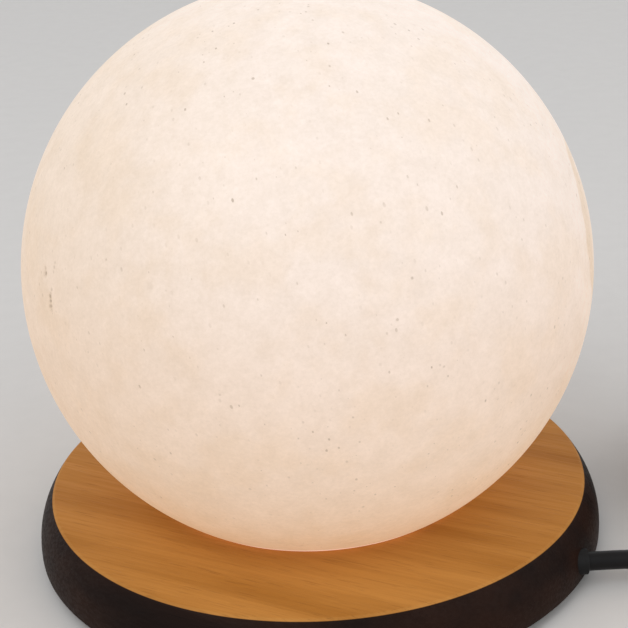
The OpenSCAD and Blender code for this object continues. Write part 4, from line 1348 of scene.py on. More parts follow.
@dataclass(frozen=True)
class WoodenBase:
    """The turned base with its bulging edge, its feet and what is fixed underneath."""

    edge_radius: float = 0.0215
    edge_rise: float = 0.0015
    bevel: float = 0.0004
    shoulder: float = 0.00052
    arc_steps: int = 24
    tube_hole: float = 0.0052
    cavity_radius: float = 0.051
    web: float = 0.005
    slip: float = 0.0002
    steps: int = 256
    sharp: float = 38.0
    lead_y: float = -0.038
    lead_z: float = 0.0075
    lead_hole: float = 0.0027
    lead_hole_start: float = 0.03
    past_edge: float = 0.01
    bushing_slip: float = 0.00005
    foot_ring: float = 0.0675
    foot_angles: tuple[float, ...] = (45.0, 135.0, 225.0, 315.0)
    foot_taper: float = 0.0006
    foot_straight: float = 0.0018
    foot_corner: float = 0.0005
    screw_angles: tuple[float, ...] = (20.0, 110.0, 200.0, 290.0)
    screw_shank: float = 0.0014
    screw_head: float = 0.0025
    screw_dome: float = 0.0003
    dome_round: float = 0.0008
    head_edge: float = 0.0001
    screw_tip: float = 0.002
    cross: float = 0.0031
    slot: float = 0.00062
    slot_depth: float = 0.001

    def build(self) -> None:
        """Makes the base, its feet and the screws of its cover, and dresses what is under it."""
        self.disc()
        self.feet()
        self.screws()
        keep(COVER_BOARD, "bottom_cover")
        keep(ZINC, "tube_washer", "clamp_screws")
        keep(BRASS, "threaded_tube", "tube_nut")
        keep(CLAMP_PLASTIC, "clamp_saddle", "clamp_strap")

    def disc(self) -> None:
        """Turns the base, and drills the hole of the lead."""
        low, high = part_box("base_disc")
        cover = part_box("bottom_cover")[1]
        recess, edge, ceiling = cover.x + self.slip, self.edge_radius, high.z - self.web
        centre_x, centre_z = high.x - edge, low.z + self.edge_rise
        rim = centre_x + math.sqrt(edge**2 - (high.z - centre_z) ** 2)
        top_angle = math.asin((high.z - self.shoulder - centre_z) / edge)
        sweep = math.degrees(top_angle + math.asin(self.edge_rise / edge))
        outline = Outline(self.tube_hole, high.z).to((rim - self.bevel, high.z))
        outline.to((centre_x + edge * math.cos(top_angle), high.z - self.shoulder))
        outline.round(centre_x, centre_z, -sweep, self.arc_steps)
        outline.to((recess, low.z), (recess, cover.z), (self.cavity_radius, cover.z))
        outline.to((self.cavity_radius, ceiling), (self.tube_hole, ceiling))
        disc = piece_of("turned_base", [outline.turned(self.steps)], self.sharp)
        drilled(disc, self.lead_holes(high.x), self.sharp)
        dress(disc, Wood("oiled_wood", high.z, self.bevel), ["base_disc"])

    def lead_holes(self, edge: float) -> list[Shape]:
        """The wide hole of the bushing and the narrower one of the lead, inside it.

        Args:
            edge: how far the base reaches along X.

        Returns:
            The shapes of the two holes.
        """
        low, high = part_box("side_bushing")
        end = Vector((edge + self.past_edge, self.lead_y, self.lead_z))
        bushing = (low.x, (high.z - low.z) / 2 + self.bushing_slip)
        return [
            rod(Vector((start, self.lead_y, self.lead_z)), end, radius)
            for start, radius in (bushing, (self.lead_hole_start, self.lead_hole))
        ]

    def ring(self, radius: float, angles: Sequence[float]) -> list[Vector]:
        """Places on a ring about the axis."""
        turns = [math.radians(angle) for angle in angles]
        return [Vector((radius * math.cos(a), radius * math.sin(a), 0.0)) for a in turns]

    def feet(self) -> None:
        """Turns the four rubber feet, each a little narrower where it stands."""
        low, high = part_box("rubber_feet")
        places = self.ring(self.foot_ring, self.foot_angles)
        radius = high.x - places[0].x
        shapes = []
        for place in places:
            outline = Outline(0.0, high.z).to((radius, high.z), (radius, low.z + self.foot_straight))
            outline.to((radius - self.foot_taper, low.z, self.foot_corner), (0.0, low.z))
            shapes.append(moved(outline.turned(), place))
        dress(piece_of("foot_pads", shapes), FOOT_RUBBER, ["rubber_feet"])

    def screws(self) -> None:
        """Turns the countersunk screws that hold the cover, and cuts a cross in each head."""
        low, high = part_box("cover_screws")
        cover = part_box("bottom_cover")[1]
        length, head, dome, shank = high.z - low.z, self.screw_head, self.screw_dome, self.screw_shank
        shapes, cuts = [], []
        spots = self.ring((self.cavity_radius + cover.x) / 2, self.screw_angles)
        for angle, spot in zip(self.screw_angles, spots):
            place = spot + Vector((0.0, 0.0, low.z))
            outline = Outline(0.0, -dome).to((0.5 * head, -0.8 * dome, self.dome_round))
            outline.to((head, 0.0, self.head_edge))
            outline.to((shank, cover.z - low.z), (shank, length - self.screw_tip), (0.0, length))
            shapes.append(moved(outline.turned(segments=4), place))
            for turn in (angle, angle + 90.0):
                across = Matrix.Translation(place) @ Matrix.Rotation(math.radians(turn), 4, "Z")
                cuts.append(block((self.cross, self.slot, 2 * self.slot_depth), across))
        screws = drilled(piece_of("cover_screw_set", shapes), cuts)
        dress(screws, ZINC, ["cover_screws"])


@dataclass(frozen=True)
class Thread:
    """A rounded screw thread of sheet metal: its crest and root, its lead and where it starts and ends."""

    crest: float
    root: float
    low: float
    high: float
    lead: float = 0.00282
    ring_steps: int = 72
    wave_steps: int = 12

    def shape(self) -> Shape:
        """One wavy line turned once while it climbs by one lead, joined to itself and cut level.

        Returns:
            The threaded sheet.
        """
        shape = bmesh.new()
        middle, swing = (self.crest + self.root) / 2, (self.crest - self.root) / 2
        turns = math.ceil((self.high - self.low) / self.lead) + 2
        start = math.floor(self.low / self.lead) * self.lead - self.lead
        verts = []
        for i in range(turns * self.wave_steps + 1):
            wave = i / self.wave_steps
            place = (middle + swing * math.sin(2 * math.pi * wave), 0.0, start + self.lead * wave)
            verts.append(shape.verts.new(place))
        for pair in zip(verts, verts[1:]):
            shape.edges.new(pair)
        bmesh.ops.spin(
            shape, geom=shape.verts[:] + shape.edges[:], cent=ORIGIN, axis=ALONG_Z,
            dvec=(0.0, 0.0, self.lead / self.ring_steps), angle=2 * math.pi, steps=self.ring_steps,
            use_merge=False,
        )
        bmesh.ops.remove_doubles(shape, verts=shape.verts, dist=2 * NEAR)
        for height, keeps_above in ((self.low, True), (self.high, False)):
            bmesh.ops.bisect_plane(
                shape, geom=shape.verts[:] + shape.edges[:] + shape.faces[:], plane_co=(0.0, 0.0, height),
                plane_no=ALONG_Z, clear_inner=keeps_above, clear_outer=not keeps_above,
            )
        bmesh.ops.recalc_face_normals(shape, faces=shape.faces)
        return shape


@dataclass(frozen=True)
class LampHolder:
    """The small screw holder on its threaded tube, and the sheet dish that centres the ball."""

    tube_hole: float = 0.005
    slip: float = 0.0002
    dish_sheet: float = 0.0012
    dish_bend: float = 0.0026
    dish_lip: float = 0.00054
    boss: float = 0.008
    boss_height: float = 0.003
    boss_corner: float = 0.0004
    shoulder_steps: int = 16
    wall: float = 0.0016
    ledge_rise: float = 0.011
    floor_rise: float = 0.007
    room: float = 0.00935
    joint_rise: float = 0.0004
    joint_width: float = 0.0003
    joint_slip: float = 0.00005
    band_height: float = 0.007
    band_taper: float = 0.002
    band_margin: float = 0.0006
    step: float = 0.0014
    ribs: int = 24
    rib_height: float = 0.0005
    rib_slope: float = 0.0002
    edge: float = 0.0004
    mouth: float = 0.0086
    mouth_round: float = 0.001
    thread_crest: float = 0.00703
    thread_root: float = 0.00625
    thread_rise: float = 0.0003
    thread_sheet: float = 0.00035
    steps: int = 144

    def build(self) -> None:
        """Makes the dish and the holder, and dresses its inner pieces."""
        self.dish()
        self.cap()
        self.sleeve()
        self.shell()
        keep(CERAMIC, "holder_insert")
        keep(BRASS, "centre_contact", "terminal_screws")

    def dish(self) -> None:
        """Turns the pressed dish, with a rolled upper edge."""
        low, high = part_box("locating_dish")
        hole, r, t, lip = self.tube_hole + self.slip, high.x, self.dish_sheet, self.dish_lip
        outline = Outline(hole, low.z).to((r, low.z, self.dish_bend), (r, high.z, lip), (r - t, high.z, lip))
        outline.to((r - t, low.z + t, self.dish_bend - t), (hole, low.z + t))
        dress(piece_of("centring_dish", [outline.turned(self.steps)]), ZINC, ["locating_dish"])

    def cap(self) -> None:
        """Turns the holder's cap, with its boss and its round shoulder."""
        low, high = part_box("holder_cap")
        r, start, inner = high.x, low.z + self.boss_height, high.x - self.wall
        shoulder, ledge, floor = r - self.boss, low.z + self.ledge_rise, low.z + self.floor_rise
        outline = Outline(self.tube_hole, low.z).to((self.boss, low.z, self.boss_corner), (self.boss, start))
        outline.round(self.boss, start + shoulder, 90.0, self.shoulder_steps)
        outline.to((r, high.z - self.joint_rise), (r - self.joint_width, high.z), (inner, high.z))
        outline.to((inner, ledge), (self.room, ledge), (self.room, floor), (self.tube_hole, floor))
        piece = piece_of("holder_lower", [outline.turned(self.steps)])
        dress(piece, HOLDER_PLASTIC, ["holder_cap"])

    def sleeve(self) -> None:
        """Turns the holder's sleeve and raises its grip ribs."""
        low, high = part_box("holder_sleeve")
        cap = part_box("holder_cap")[1]
        r, start, end, fine = cap.x, cap.z, cap.z + self.band_height, self.joint_slip
        inner, spigot = r - self.step, r - self.wall - fine
        ends = (start + self.band_margin, end - self.band_margin)
        outline = Outline(spigot - self.step, low.z)
        outline.to((spigot, low.z), (spigot, start), (r, start, self.slip))
        outline.to((r, ends[0]), (r, ends[1]), (r, end, self.edge), (inner, end + self.band_taper, self.edge))
        outline.to((inner, high.z, self.mouth_round), (self.mouth, high.z, self.edge))
        outline.to((self.mouth, high.z - self.wall), (inner - self.wall, high.z - self.wall))
        shape = outline.to((inner - self.wall, low.z)).turned(self.steps, segments=4)
        picked = [face for face in shape.faces if self.on_rib(face.calc_center_median(), ends, r - self.slip)]
        bmesh.ops.inset_region(
            shape, faces=picked, thickness=self.rib_slope, depth=self.rib_height, use_even_offset=True
        )
        dress(piece_of("holder_ring", [shape]), HOLDER_PLASTIC, ["holder_sleeve"])

    def on_rib(self, place: Vector, ends: tuple[float, float], radius: float) -> bool:
        """Says whether a place is on one of the ribs.

        Args:
            place: the place.
            ends: the lowest and the highest height of a rib.
            radius: the distance from the axis past which a rib lies.

        Returns:
            True on a rib.
        """
        column = int((math.degrees(math.atan2(place.y, place.x)) % 360.0) / 360.0 * self.steps)
        outside = math.hypot(place.x, place.y) > radius
        return outside and ends[0] < place.z < ends[1] and column % (self.steps // self.ribs) in (0, 1)

    def shell(self) -> None:
        """Makes the pressed brass shell with the thread that takes the bulb."""
        low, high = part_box("screw_shell")
        thread = Thread(self.thread_crest, self.thread_root, low.z + self.thread_rise, high.z).shape()
        shell = piece_of("threaded_shell", [thread], SHEET_SHARP)
        walled(shell, self.thread_sheet, OUTWARD, even=True)
        dress(settle(shell, SHEET_SHARP), BRASS, ["screw_shell"])


@dataclass(frozen=True)
class SmallBulb:
    """The clear screw bulb: contact, black glass, cap, envelope, stem, wires and filament."""

    dome: tuple[float, float, float] = (0.45, 0.00008, 0.0009)
    fine: float = 0.0003
    edge: float = 0.0004
    insulator_foot: float = 0.0024
    insulator_rise: float = 0.0022
    insulator_steps: int = 64
    crest: float = 0.00693
    root: float = 0.00615
    hem: float = 0.0046
    hem_edge: float = 0.005
    hem_round: float = 0.0008
    thread_rise: float = 0.0022
    thread_drop: float = 0.0024
    overlap: float = 0.0002
    collar: tuple[float, float, float] = (0.0065, 0.0006, 0.0067)
    cap_sheet: float = 0.0002
    neck: float = 0.0066
    waist: float = 0.014
    glass_wall: float = 0.0006
    glass_sharp: float = 60.0
    globe_steps: int = 40
    waist_steps: int = 16
    stem_flare: tuple[Point, ...] = ((0.0024, 0.005, 0.002), (0.0013, 0.007, 0.001))
    stem_button: tuple[Point, ...] = (
        (0.0013, 0.0012, 0.0005), (0.0018, 0.0007, 0.0004), (0.0012, 0.0, 0.0004),
    )
    filament_radius: float = 0.008
    filament_sweep: float = 110.0
    filament_drop: float = 0.00035
    coils: int = 46
    coil_steps: int = 8
    coil_radius: float = 0.00026
    wire: float = 0.00007
    steps: int = 96

    def build(self) -> None:
        """Makes each piece of the bulb."""
        self.contact()
        self.insulator()
        self.cap()
        self.envelope()
        self.stem()
        self.filament()
        keep(ZINC, "bulb_wires")

    def contact(self) -> None:
        """Makes the soldered contact, with its dome."""
        low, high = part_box("bulb_contact")
        r, (share, swell, rise) = high.x, self.dome
        outline = Outline(0.0, low.z).to((share * r, low.z + swell, self.edge), (r, low.z + rise, self.fine))
        shape = outline.to((r, high.z), (0.0, high.z)).turned()
        dress(piece_of("solder_contact", [shape]), SOLDER, ["bulb_contact"], Body.BULB_TIP)

    def insulator(self) -> None:
        """Makes the black glass round the contact."""
        low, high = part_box("bulb_insulator")
        outline = Outline(0.0, low.z).to((self.insulator_foot, low.z, self.fine))
        outline.to((high.x, low.z + self.insulator_rise, self.fine), (high.x, high.z), (0.0, high.z))
        piece = piece_of("black_glass_ring", [outline.turned(self.insulator_steps)])
        dress(piece, VITRITE, ["bulb_insulator"], Body.BULB)

    def cap(self) -> None:
        """Makes the metal screw cap: a hem, the thread and a plain collar."""
        low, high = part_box("bulb_screw_cap")
        first, last = low.z + self.thread_rise, high.z - self.thread_drop
        thread = Thread(self.crest, self.root, first, last).shape()
        cap = piece_of("threaded_cap", [thread], SHEET_SHARP)
        foot = Outline(self.hem, low.z).to((self.hem_edge, low.z, self.fine))
        foot.to((self.root, first, self.hem_round), (self.root, first + self.overlap))
        bead, rise, rim = self.collar
        collar = Outline(self.root, last - self.overlap).to((bead, last + rise, self.edge), (rim, high.z))
        rings = piece_of("cap_rings", [ring.turned(self.steps, closed=False) for ring in (foot, collar)])
        whole = walled(piece_of("screw_cap", [taken(cap), taken(rings)], SHEET_SHARP), self.cap_sheet)
        dress(settle(whole, SHEET_SHARP), TIN, ["bulb_screw_cap"], Body.BULB)

    def envelope(self) -> None:
        """Blows the pear-shaped glass."""
        low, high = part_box("bulb_glass")
        r, centre = high.x, high.z - high.x
        waist_x = self.neck + self.waist
        waist_z = centre - math.sqrt((r + self.waist) ** 2 - waist_x**2)
        touch = math.degrees(math.atan2(centre - waist_z, waist_x))
        outline = Outline(0.0, high.z).round(0.0, centre, -90.0 - touch, self.globe_steps)
        outline.round(waist_x, waist_z, touch, self.waist_steps).to((self.neck, low.z))
        glass = piece_of("glass_envelope", [outline.turned(self.steps, closed=False)], self.glass_sharp)
        settle(walled(glass, self.glass_wall), self.glass_sharp)
        dress(glass, GLASS, ["bulb_glass"], Body.BULB)

    def stem(self) -> None:
        """Turns the flared glass stem with its button at the top."""
        low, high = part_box("bulb_stem")
        outline = Outline(0.0, low.z).to((high.x, low.z, self.fine))
        for x, z, corner in self.stem_flare:
            outline.to((x, low.z + z, corner))
        for x, z, corner in self.stem_button:
            outline.to((x, high.z - z, corner))
        piece = piece_of("glass_stem", [outline.to((0.0, high.z)).turned()])
        dress(piece, GLASS, ["bulb_stem"], Body.BULB)

    def filament(self) -> None:
        """Winds the fine filament along its arc over the stem."""
        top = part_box("bulb_filament")[1].z
        centre = top - self.filament_drop - self.filament_radius
        half = math.radians(self.filament_sweep) / 2
        points = []
        for i in range(self.coils * self.coil_steps + 1):
            a = -half + 2 * half * i / (self.coils * self.coil_steps)
            turn = 2 * math.pi * i / self.coil_steps
            r = self.filament_radius + self.coil_radius * math.cos(turn)
            points.append((r * math.sin(a), self.coil_radius * math.sin(turn), centre + r * math.cos(a)))
        finish = Glowing("hot_tungsten", (0.0, 0.0, top), self.filament_radius)
        piece = tube("wound_filament", points, self.wire, sides=1, steps=2)
        dress(piece, finish, ["bulb_filament"], Body.BULB)


@dataclass(frozen=True)
class CordCoil:
    """The wound part of the lead: loops that spiral in and out and climb a layer at each reversal."""

    x: float = 0.132
    y: float = 0.008
    z: float = 0.0038
    radius: float = 0.0335
    pitch: float = 0.0055
    turns: float = 7.5
    layers: int = 4
    per_turn: int = 24
    climb: float = 0.5

    def point(self, t: float) -> Point:
        """The place of the lead after a number of turns.

        Args:
            t: the number of turns from the coil's start.

        Returns:
            The place.
        """
        layer_turns = self.turns / self.layers
        layer = min(int(t / layer_turns), self.layers - 1)
        along = t - layer * layer_turns
        inward = along if layer % 2 == 0 else layer_turns - along
        steps = ((t - k * layer_turns) / self.climb + 0.5 for k in range(1, self.layers))
        climbed = sum(max(0.0, min(1.0, step)) for step in steps)
        a, r = math.radians(90.0 + 360.0 * t), self.radius - self.pitch * inward
        return (self.x + r * math.cos(a), self.y + r * math.sin(a), self.z + self.pitch * climbed)

    def points(self) -> list[Point]:
        """The points of the whole coil."""
        count = int(self.turns * self.per_turn)
        return [self.point(self.turns * i / count) for i in range(count + 1)]


def metres(route: Iterable[Point]) -> list[Point]:
    """A route in millimetres as one in metres."""
    return [(x * MM, y * MM, z * MM) for x, y, z in route]


@dataclass(frozen=True)
class MainsLead:
    """The round black lead: inside the base, out to the switch, and on through the coil to the plug."""

    radius: float = 0.0025
    core_radius: float = 0.0009
    to_switch: tuple[Point, ...] = (
        (69.5, -38, 7.5), (80, -38, 7.5), (90, -38, 7), (100, -38, 5.9), (110, -38, 4.3), (120, -38, 3.1),
        (131, -38, 2.6), (143, -38, 2.5), (156, -38, 2.5), (169, -38, 2.5), (182, -38, 2.5), (195, -38, 2.5),
        (208, -38, 2.5), (220, -38, 2.5), (231, -36.5, 2.5), (241.5, -31.5, 2.5), (250, -24.5, 2.5),
        (256, -14.5, 2.5), (259.5, -4, 2.7), (259.5, 7.5, 3.3), (256, 18, 4.3), (250, 28, 5.7),
        (241.5, 35, 7), (231, 40, 7.8), (220, 41.5, 8), (210, 41.5, 8),
    )
    to_coil: tuple[Point, ...] = (
        (168, 41.5, 8), (160, 41.5, 8), (154, 41.5, 7.2), (148, 41.5, 5.4), (142.5, 41.5, 4.1),
        (137, 41.5, 3.8),
    )
    to_plug: tuple[Point, ...] = (
        (137, -25.5, 20.3), (141, -25.4, 20.1), (147, -26.1, 19.4), (152.5, -28.1, 18), (157.5, -31.4, 16),
        (161.5, -35.8, 13.8), (165, -41.6, 11.6), (168.5, -47.4, 9.9), (172.7, -51.9, 8.6),
        (177.8, -55.3, 7.7), (183, -57.2, 7.2), (188, -58, 7), (193, -58, 7), (198, -58, 7),
    )
    inside: tuple[Point, ...] = (
        (69.5, -38, 7.5), (58, -38, 7.5), (46, -38, 7.5), (34, -38, 7.5), (26, -38, 7.7), (18, -38, 8.1),
        (11.2, -36.8, 8.4), (5.1, -33.6, 8.7), (0.8, -28.9, 8.9), (-1.4, -24.5, 9), (-2, -20.5, 9),
        (-2, -16, 9), (-2, -11, 9),
    )
    core_middle: tuple[float, ...] = (-2, -2, -2, -2, -1, 0, 0, 0, 0, 0, 0, 0, 0, 0, 0)
    core_side: tuple[Point, ...] = (
        (1.1, -11, 9), (1.1, -10, 9), (1.3, -8.4, 8), (1.4, -6.8, 7.1), (1.3, -5, 6), (1.5, -3, 5.8),
        (1.5, -1.5, 6.2), (1.5, -0.5, 7.2), (1.5, -0.1, 8.8), (1.5, 0, 10.8), (1.5, 0, 25.1), (1.8, 0, 26.4),
        (2.8, 0, 27.4), (4.1, 0, 27.7), (6.6, 0, 27.7),
    )
    bushing_slip: float = 0.00005
    bushing_edge: float = 0.0002
    bushing_lip: float = 0.0004
    strap_sheet: float = 0.001
    strap_corner: float = 0.003
    strap_sharp: float = 40.0
    tail_ends: tuple[float, float] = (-0.7, 0.6)
    tail_gap: float = 0.0001
    tail_margin: float = 0.0005
    tail_edges: tuple[float, float] = (0.0004, 0.0006)

    def near_stretch(self) -> Piece:
        """The stretch from the base to the switch."""
        piece = tube("lead_near", metres(self.to_switch), self.radius)
        return dress(piece, LEAD_PLASTIC, ["lead_to_switch"])

    def far_stretch(self) -> Piece:
        """The stretch from the switch through the coil to the plug.

        Returns:
            The piece.
        """
        points = [*metres(self.to_coil), *CordCoil().points(), *metres(self.to_plug)]
        piece = tube("lead_far", points, self.radius)
        return dress(piece, LEAD_PLASTIC, ["lead_to_coil", "cord_coil", "lead_to_plug"])

    def inner(self) -> None:
        """The lead inside the base and its two cores, up the threaded tube to the holder."""
        piece = tube("lead_inside", metres(self.inside), self.radius)
        dress(piece, LEAD_PLASTIC, ["inner_cord"])
        cores = ((1, "core_brown", "live_core", BROWN_CORE), (-1, "core_blue", "neutral_core", BLUE_CORE))
        for side, name, node, finish in cores:
            dress(tube(name, self.core(side), self.core_radius, sides=4), finish, [node])

    def core(self, side: int) -> list[Point]:
        """The points of one core, from the end of the lead to its terminal."""
        pairs = zip(self.core_middle, self.core_side)
        return metres((middle + side * x, y, z) for middle, (x, y, z) in pairs)

    def bushing(self) -> Piece:
        """The sleeve that lines the hole in the base, with a small round lip outside.

        Returns:
            The piece.
        """
        low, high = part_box("side_bushing")
        middle = (low + high) / 2
        bore, r, length = self.radius + self.bushing_slip, (high.z - low.z) / 2, high.x - low.x
        outline = Outline(0.0, bore).to((length, bore, self.bushing_edge), (length, r, self.bushing_lip))
        outline.to((0.0, r))
        shape = moved(outline.turned(axis=ALONG_X), (low.x, middle.y, middle.z))
        return dress(piece_of("bushing_sleeve", [shape]), BUSHING_RUBBER, ["side_bushing"])

    def strap(self) -> Piece:
        """The strap round the coil, with its loose end lying on top.

        Returns:
            The piece.
        """
        low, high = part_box("coil_tie")
        half, tall, width = (high.x - low.x) / 2, high.z - low.z, high.y - low.y
        place = ((low.x + high.x) / 2, low.y, low.z)
        loop = taken(settle(walled(self.strap_loop(half, tall, width), self.strap_sheet), self.strap_sharp))
        first, last = (half * end for end in self.tail_ends)
        foot, top, (near, far) = tall + self.tail_gap, tall + self.strap_sheet, self.tail_edges
        outline = Outline(first, foot).to((last, foot), (last, top, near), (first, top, far))
        end = outline.face(segments=3)
        tail = drawn_out(end, (0.0, width - 2 * self.tail_margin, 0.0))
        moved(tail, (0.0, self.tail_margin, 0.0))
        piece = piece_of("coil_strap", [moved(loop, place), moved(tail, place)], self.strap_sharp)
        return dress(piece, STRAP, ["coil_tie"])

    def strap_loop(self, half: float, tall: float, width: float) -> Piece:
        """Draws the strap's closed loop as a sheet.

        Args:
            half: half its length.
            tall: its height.
            width: the width of the band.

        Returns:
            The sheet.
        """
        corner = self.strap_corner
        outline = Outline(-half, 0.0).to((half, 0.0, corner), (half, tall, corner), (-half, tall, corner))
        outline.corners[corner].append(outline.first)
        shape = outline.face()
        bmesh.ops.delete(shape, geom=shape.faces[:], context="FACES_ONLY")
        drawn = bmesh.ops.extrude_edge_only(shape, edges=shape.edges[:])
        verts = [item for item in drawn["geom"] if isinstance(item, bmesh.types.BMVert)]
        bmesh.ops.translate(shape, verts=verts, vec=Vector((0.0, width, 0.0)))
        return piece_of("strap_loop", [shape], self.strap_sharp)


@dataclass(frozen=True)
class InlineSwitch:
    """The rocker switch in the lead: two shells, the rocker with its marks, terminals, cores and screws."""

    split: float = 0.008
    end_steps: int = 28
    top_round: float = 0.004
    foot_round: float = 0.001
    seam: float = 0.0003
    wall: float = 0.0018
    opening_gap: float = 0.0003
    opening_edge: float = 0.00035
    rocker_length: float = 0.019
    rocker_width: float = 0.0104
    rocker_edge: float = 0.0004
    rocker_steps: int = 10
    rocker_valley: float = 0.0012
    pin_length: float = 0.0128
    pin_radius: float = 0.0015
    saddle: float = 0.0034
    skirt: float = 0.003
    tilt: float = 12.0
    stroke: tuple[float, float] = (0.0005, 0.0032)
    ring: tuple[float, float] = (0.00115, 0.0016)
    mark_rise: float = 0.00012
    mark_edge: float = 0.00006
    stroke_edge: float = 0.00008
    mark_place: float = 0.0049
    lead_radius: float = 0.00255
    lead_hole: tuple[float, float] = (0.018, 0.03)
    head_radius: float = 0.0023
    head_hole: tuple[float, float] = (-0.001, 0.003)
    screw_dx: float = 0.0147
    screw_dy: float = 0.0076
    core_radius: float = 0.0009
    live_route: tuple[Point, ...] = (
        (21, -1.1, 8), (19.5, -1.1, 8), (16, -1.1, 6.4), (12.5, -1.4, 4.8), (11, -1.4, 4.8), (7, -1.4, 4.8),
    )
    through_route: tuple[Point, ...] = (
        (21, 1.1, 8), (19.5, 1.1, 8), (16, 2.3, 5.8), (12, 3.5, 3.6), (0, 3.5, 3.6),
    )

    def build(self) -> list[Piece]:
        """Makes the pieces of the switch and returns those that are on the lead.

        Returns:
            The pieces that are on the lead.
        """
        made = [self.upper(), self.lower(), self.rocker(), *self.marks(), *self.cores()]
        keep(BRASS, "switch_terminals")
        keep(ZINC, "switch_screws")
        return made

    def middle(self, rise: float = 0.0) -> Vector:
        """The middle of the switch, at a height above the table."""
        low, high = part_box("switch_lower_shell")
        return Vector(((low.x + high.x) / 2, (low.y + high.y) / 2, low.z + rise))

    def block(self, height: float) -> Shape:
        """The long round-ended outline, drawn up to a height.

        Args:
            height: how high it is.

        Returns:
            The solid, with its foot at the origin.
        """
        low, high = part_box("switch_lower_shell")
        w = (high.y - low.y) / 2
        s = (high.x - low.x) / 2 - w
        outline = Outline(-s, -w).to((s, -w)).round(s, 0.0, 180.0, self.end_steps)
        outline.to((-s, w)).round(-s, 0.0, 180.0, self.end_steps)
        return drawn_out(tilted(outline.face(), -90.0, "X"), (0.0, 0.0, height))

    def notches(self) -> list[Shape]:
        """The rod-shaped hole that the lead runs through, at both ends.

        Returns:
            The shapes of the two holes.
        """
        m, (near, far) = self.middle(self.split), self.lead_hole
        ends = [(m + Vector((side * near, 0, 0)), m + Vector((side * far, 0, 0))) for side in (-1, 1)]
        return [rod(start, end, self.lead_radius) for start, end in ends]

    def open_up(self, shape: Shape, height: float) -> None:
        """Takes away the flat face at a height, so that the shell is open there.

        Args:
            shape: the shell.
            height: the height of the face.
        """
        flat = [f for f in shape.faces if abs(f.normal.z) > FLAT]
        faces = [f for f in flat if abs(f.calc_center_median().z - height) < NEAR]
        bmesh.ops.delete(shape, geom=faces, context="FACES")

    def upper(self) -> Piece:
        """The upper shell, with its rounded top and the rocker's opening.

        Returns:
            The piece.
        """
        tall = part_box("switch_upper_shell")[1].z - self.split
        shape = self.block(tall)
        softened(shape, lambda a, b: min(a.z, b.z) > tall - NEAR, self.top_round, segments=8)
        softened(shape, lambda a, b: max(a.z, b.z) < NEAR, self.seam, segments=1)
        self.cut_opening(shape, tall)
        self.open_up(shape, 0.0)
        piece = piece_of("switch_upper", [moved(shape, self.middle(self.split))])
        return self.shell(piece, "switch_upper_shell", self.notches())

    def cut_opening(self, shape: Shape, tall: float) -> None:
        """Cuts the rocker's opening into the top, with its edge turned in.

        Args:
            shape: the upper shell.
            tall: the height of its top.
        """
        half_l = self.rocker_length / 2 + self.opening_gap
        half_w = self.rocker_width / 2 + self.opening_gap
        for way in ((1, 0, 0), (-1, 0, 0), (0, 1, 0), (0, -1, 0)):
            top = self.top_faces(shape, tall)
            edges = {e for f in top for e in f.edges}
            verts = {v for f in top for v in f.verts}
            spot = (half_l * way[0], half_w * way[1], 0.0)
            bmesh.ops.bisect_plane(shape, geom=[*top, *edges, *verts], plane_co=spot, plane_no=way)
        places = [(f, f.calc_center_median()) for f in self.top_faces(shape, tall)]
        middle = [f for f, place in places if abs(place.x) < half_l and abs(place.y) < half_w]
        edge = self.opening_edge
        bmesh.ops.inset_region(shape, faces=middle, thickness=edge, depth=-edge)
        bmesh.ops.delete(shape, geom=[f for f in middle if f.is_valid], context="FACES")
        LOG.info("opened %d face for the rocker", len(middle))
        shape.normal_update()

    def top_faces(self, shape: Shape, tall: float) -> list[bmesh.types.BMFace]:
        """The flat faces at the top."""
        return [f for f in shape.faces if f.normal.z > FLAT and f.calc_center_median().z > tall - NEAR]

    def lower(self) -> Piece:
        """The lower shell, with sunk holes for its screws.

        Returns:
            The piece.
        """
        shape = self.block(self.split)
        softened(shape, lambda a, b: max(a.z, b.z) < NEAR, self.foot_round, segments=4)
        softened(shape, lambda a, b: min(a.z, b.z) > self.split - NEAR, self.seam, segments=1)
        self.open_up(shape, self.split)
        piece = piece_of("switch_lower", [moved(shape, self.middle())])
        holes = self.notches()
        for side in (-1, 1):
            spot = self.middle() + Vector((side * self.screw_dx, side * self.screw_dy, 0.0))
            start, end = (spot + Vector((0.0, 0.0, z)) for z in self.head_hole)
            holes.append(rod(start, end, self.head_radius))
        return self.shell(piece, "switch_lower_shell", holes)

    def shell(self, piece: Piece, node: str, holes: list[Shape]) -> Piece:
        """Gives a shell its wall and its holes."""
        drilled(walled(piece, self.wall, even=True), holes)
        return dress(piece, BLACK_PLASTIC, [node])

    def leaning(self, shape: Shape) -> Shape:
        """A shape on the rocker, turned to the side that is pressed and put on the pivot."""
        pivot = self.middle(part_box("switch_upper_shell")[1].z - self.saddle)
        return moved(tilted(shape, self.tilt, "Y"), pivot)

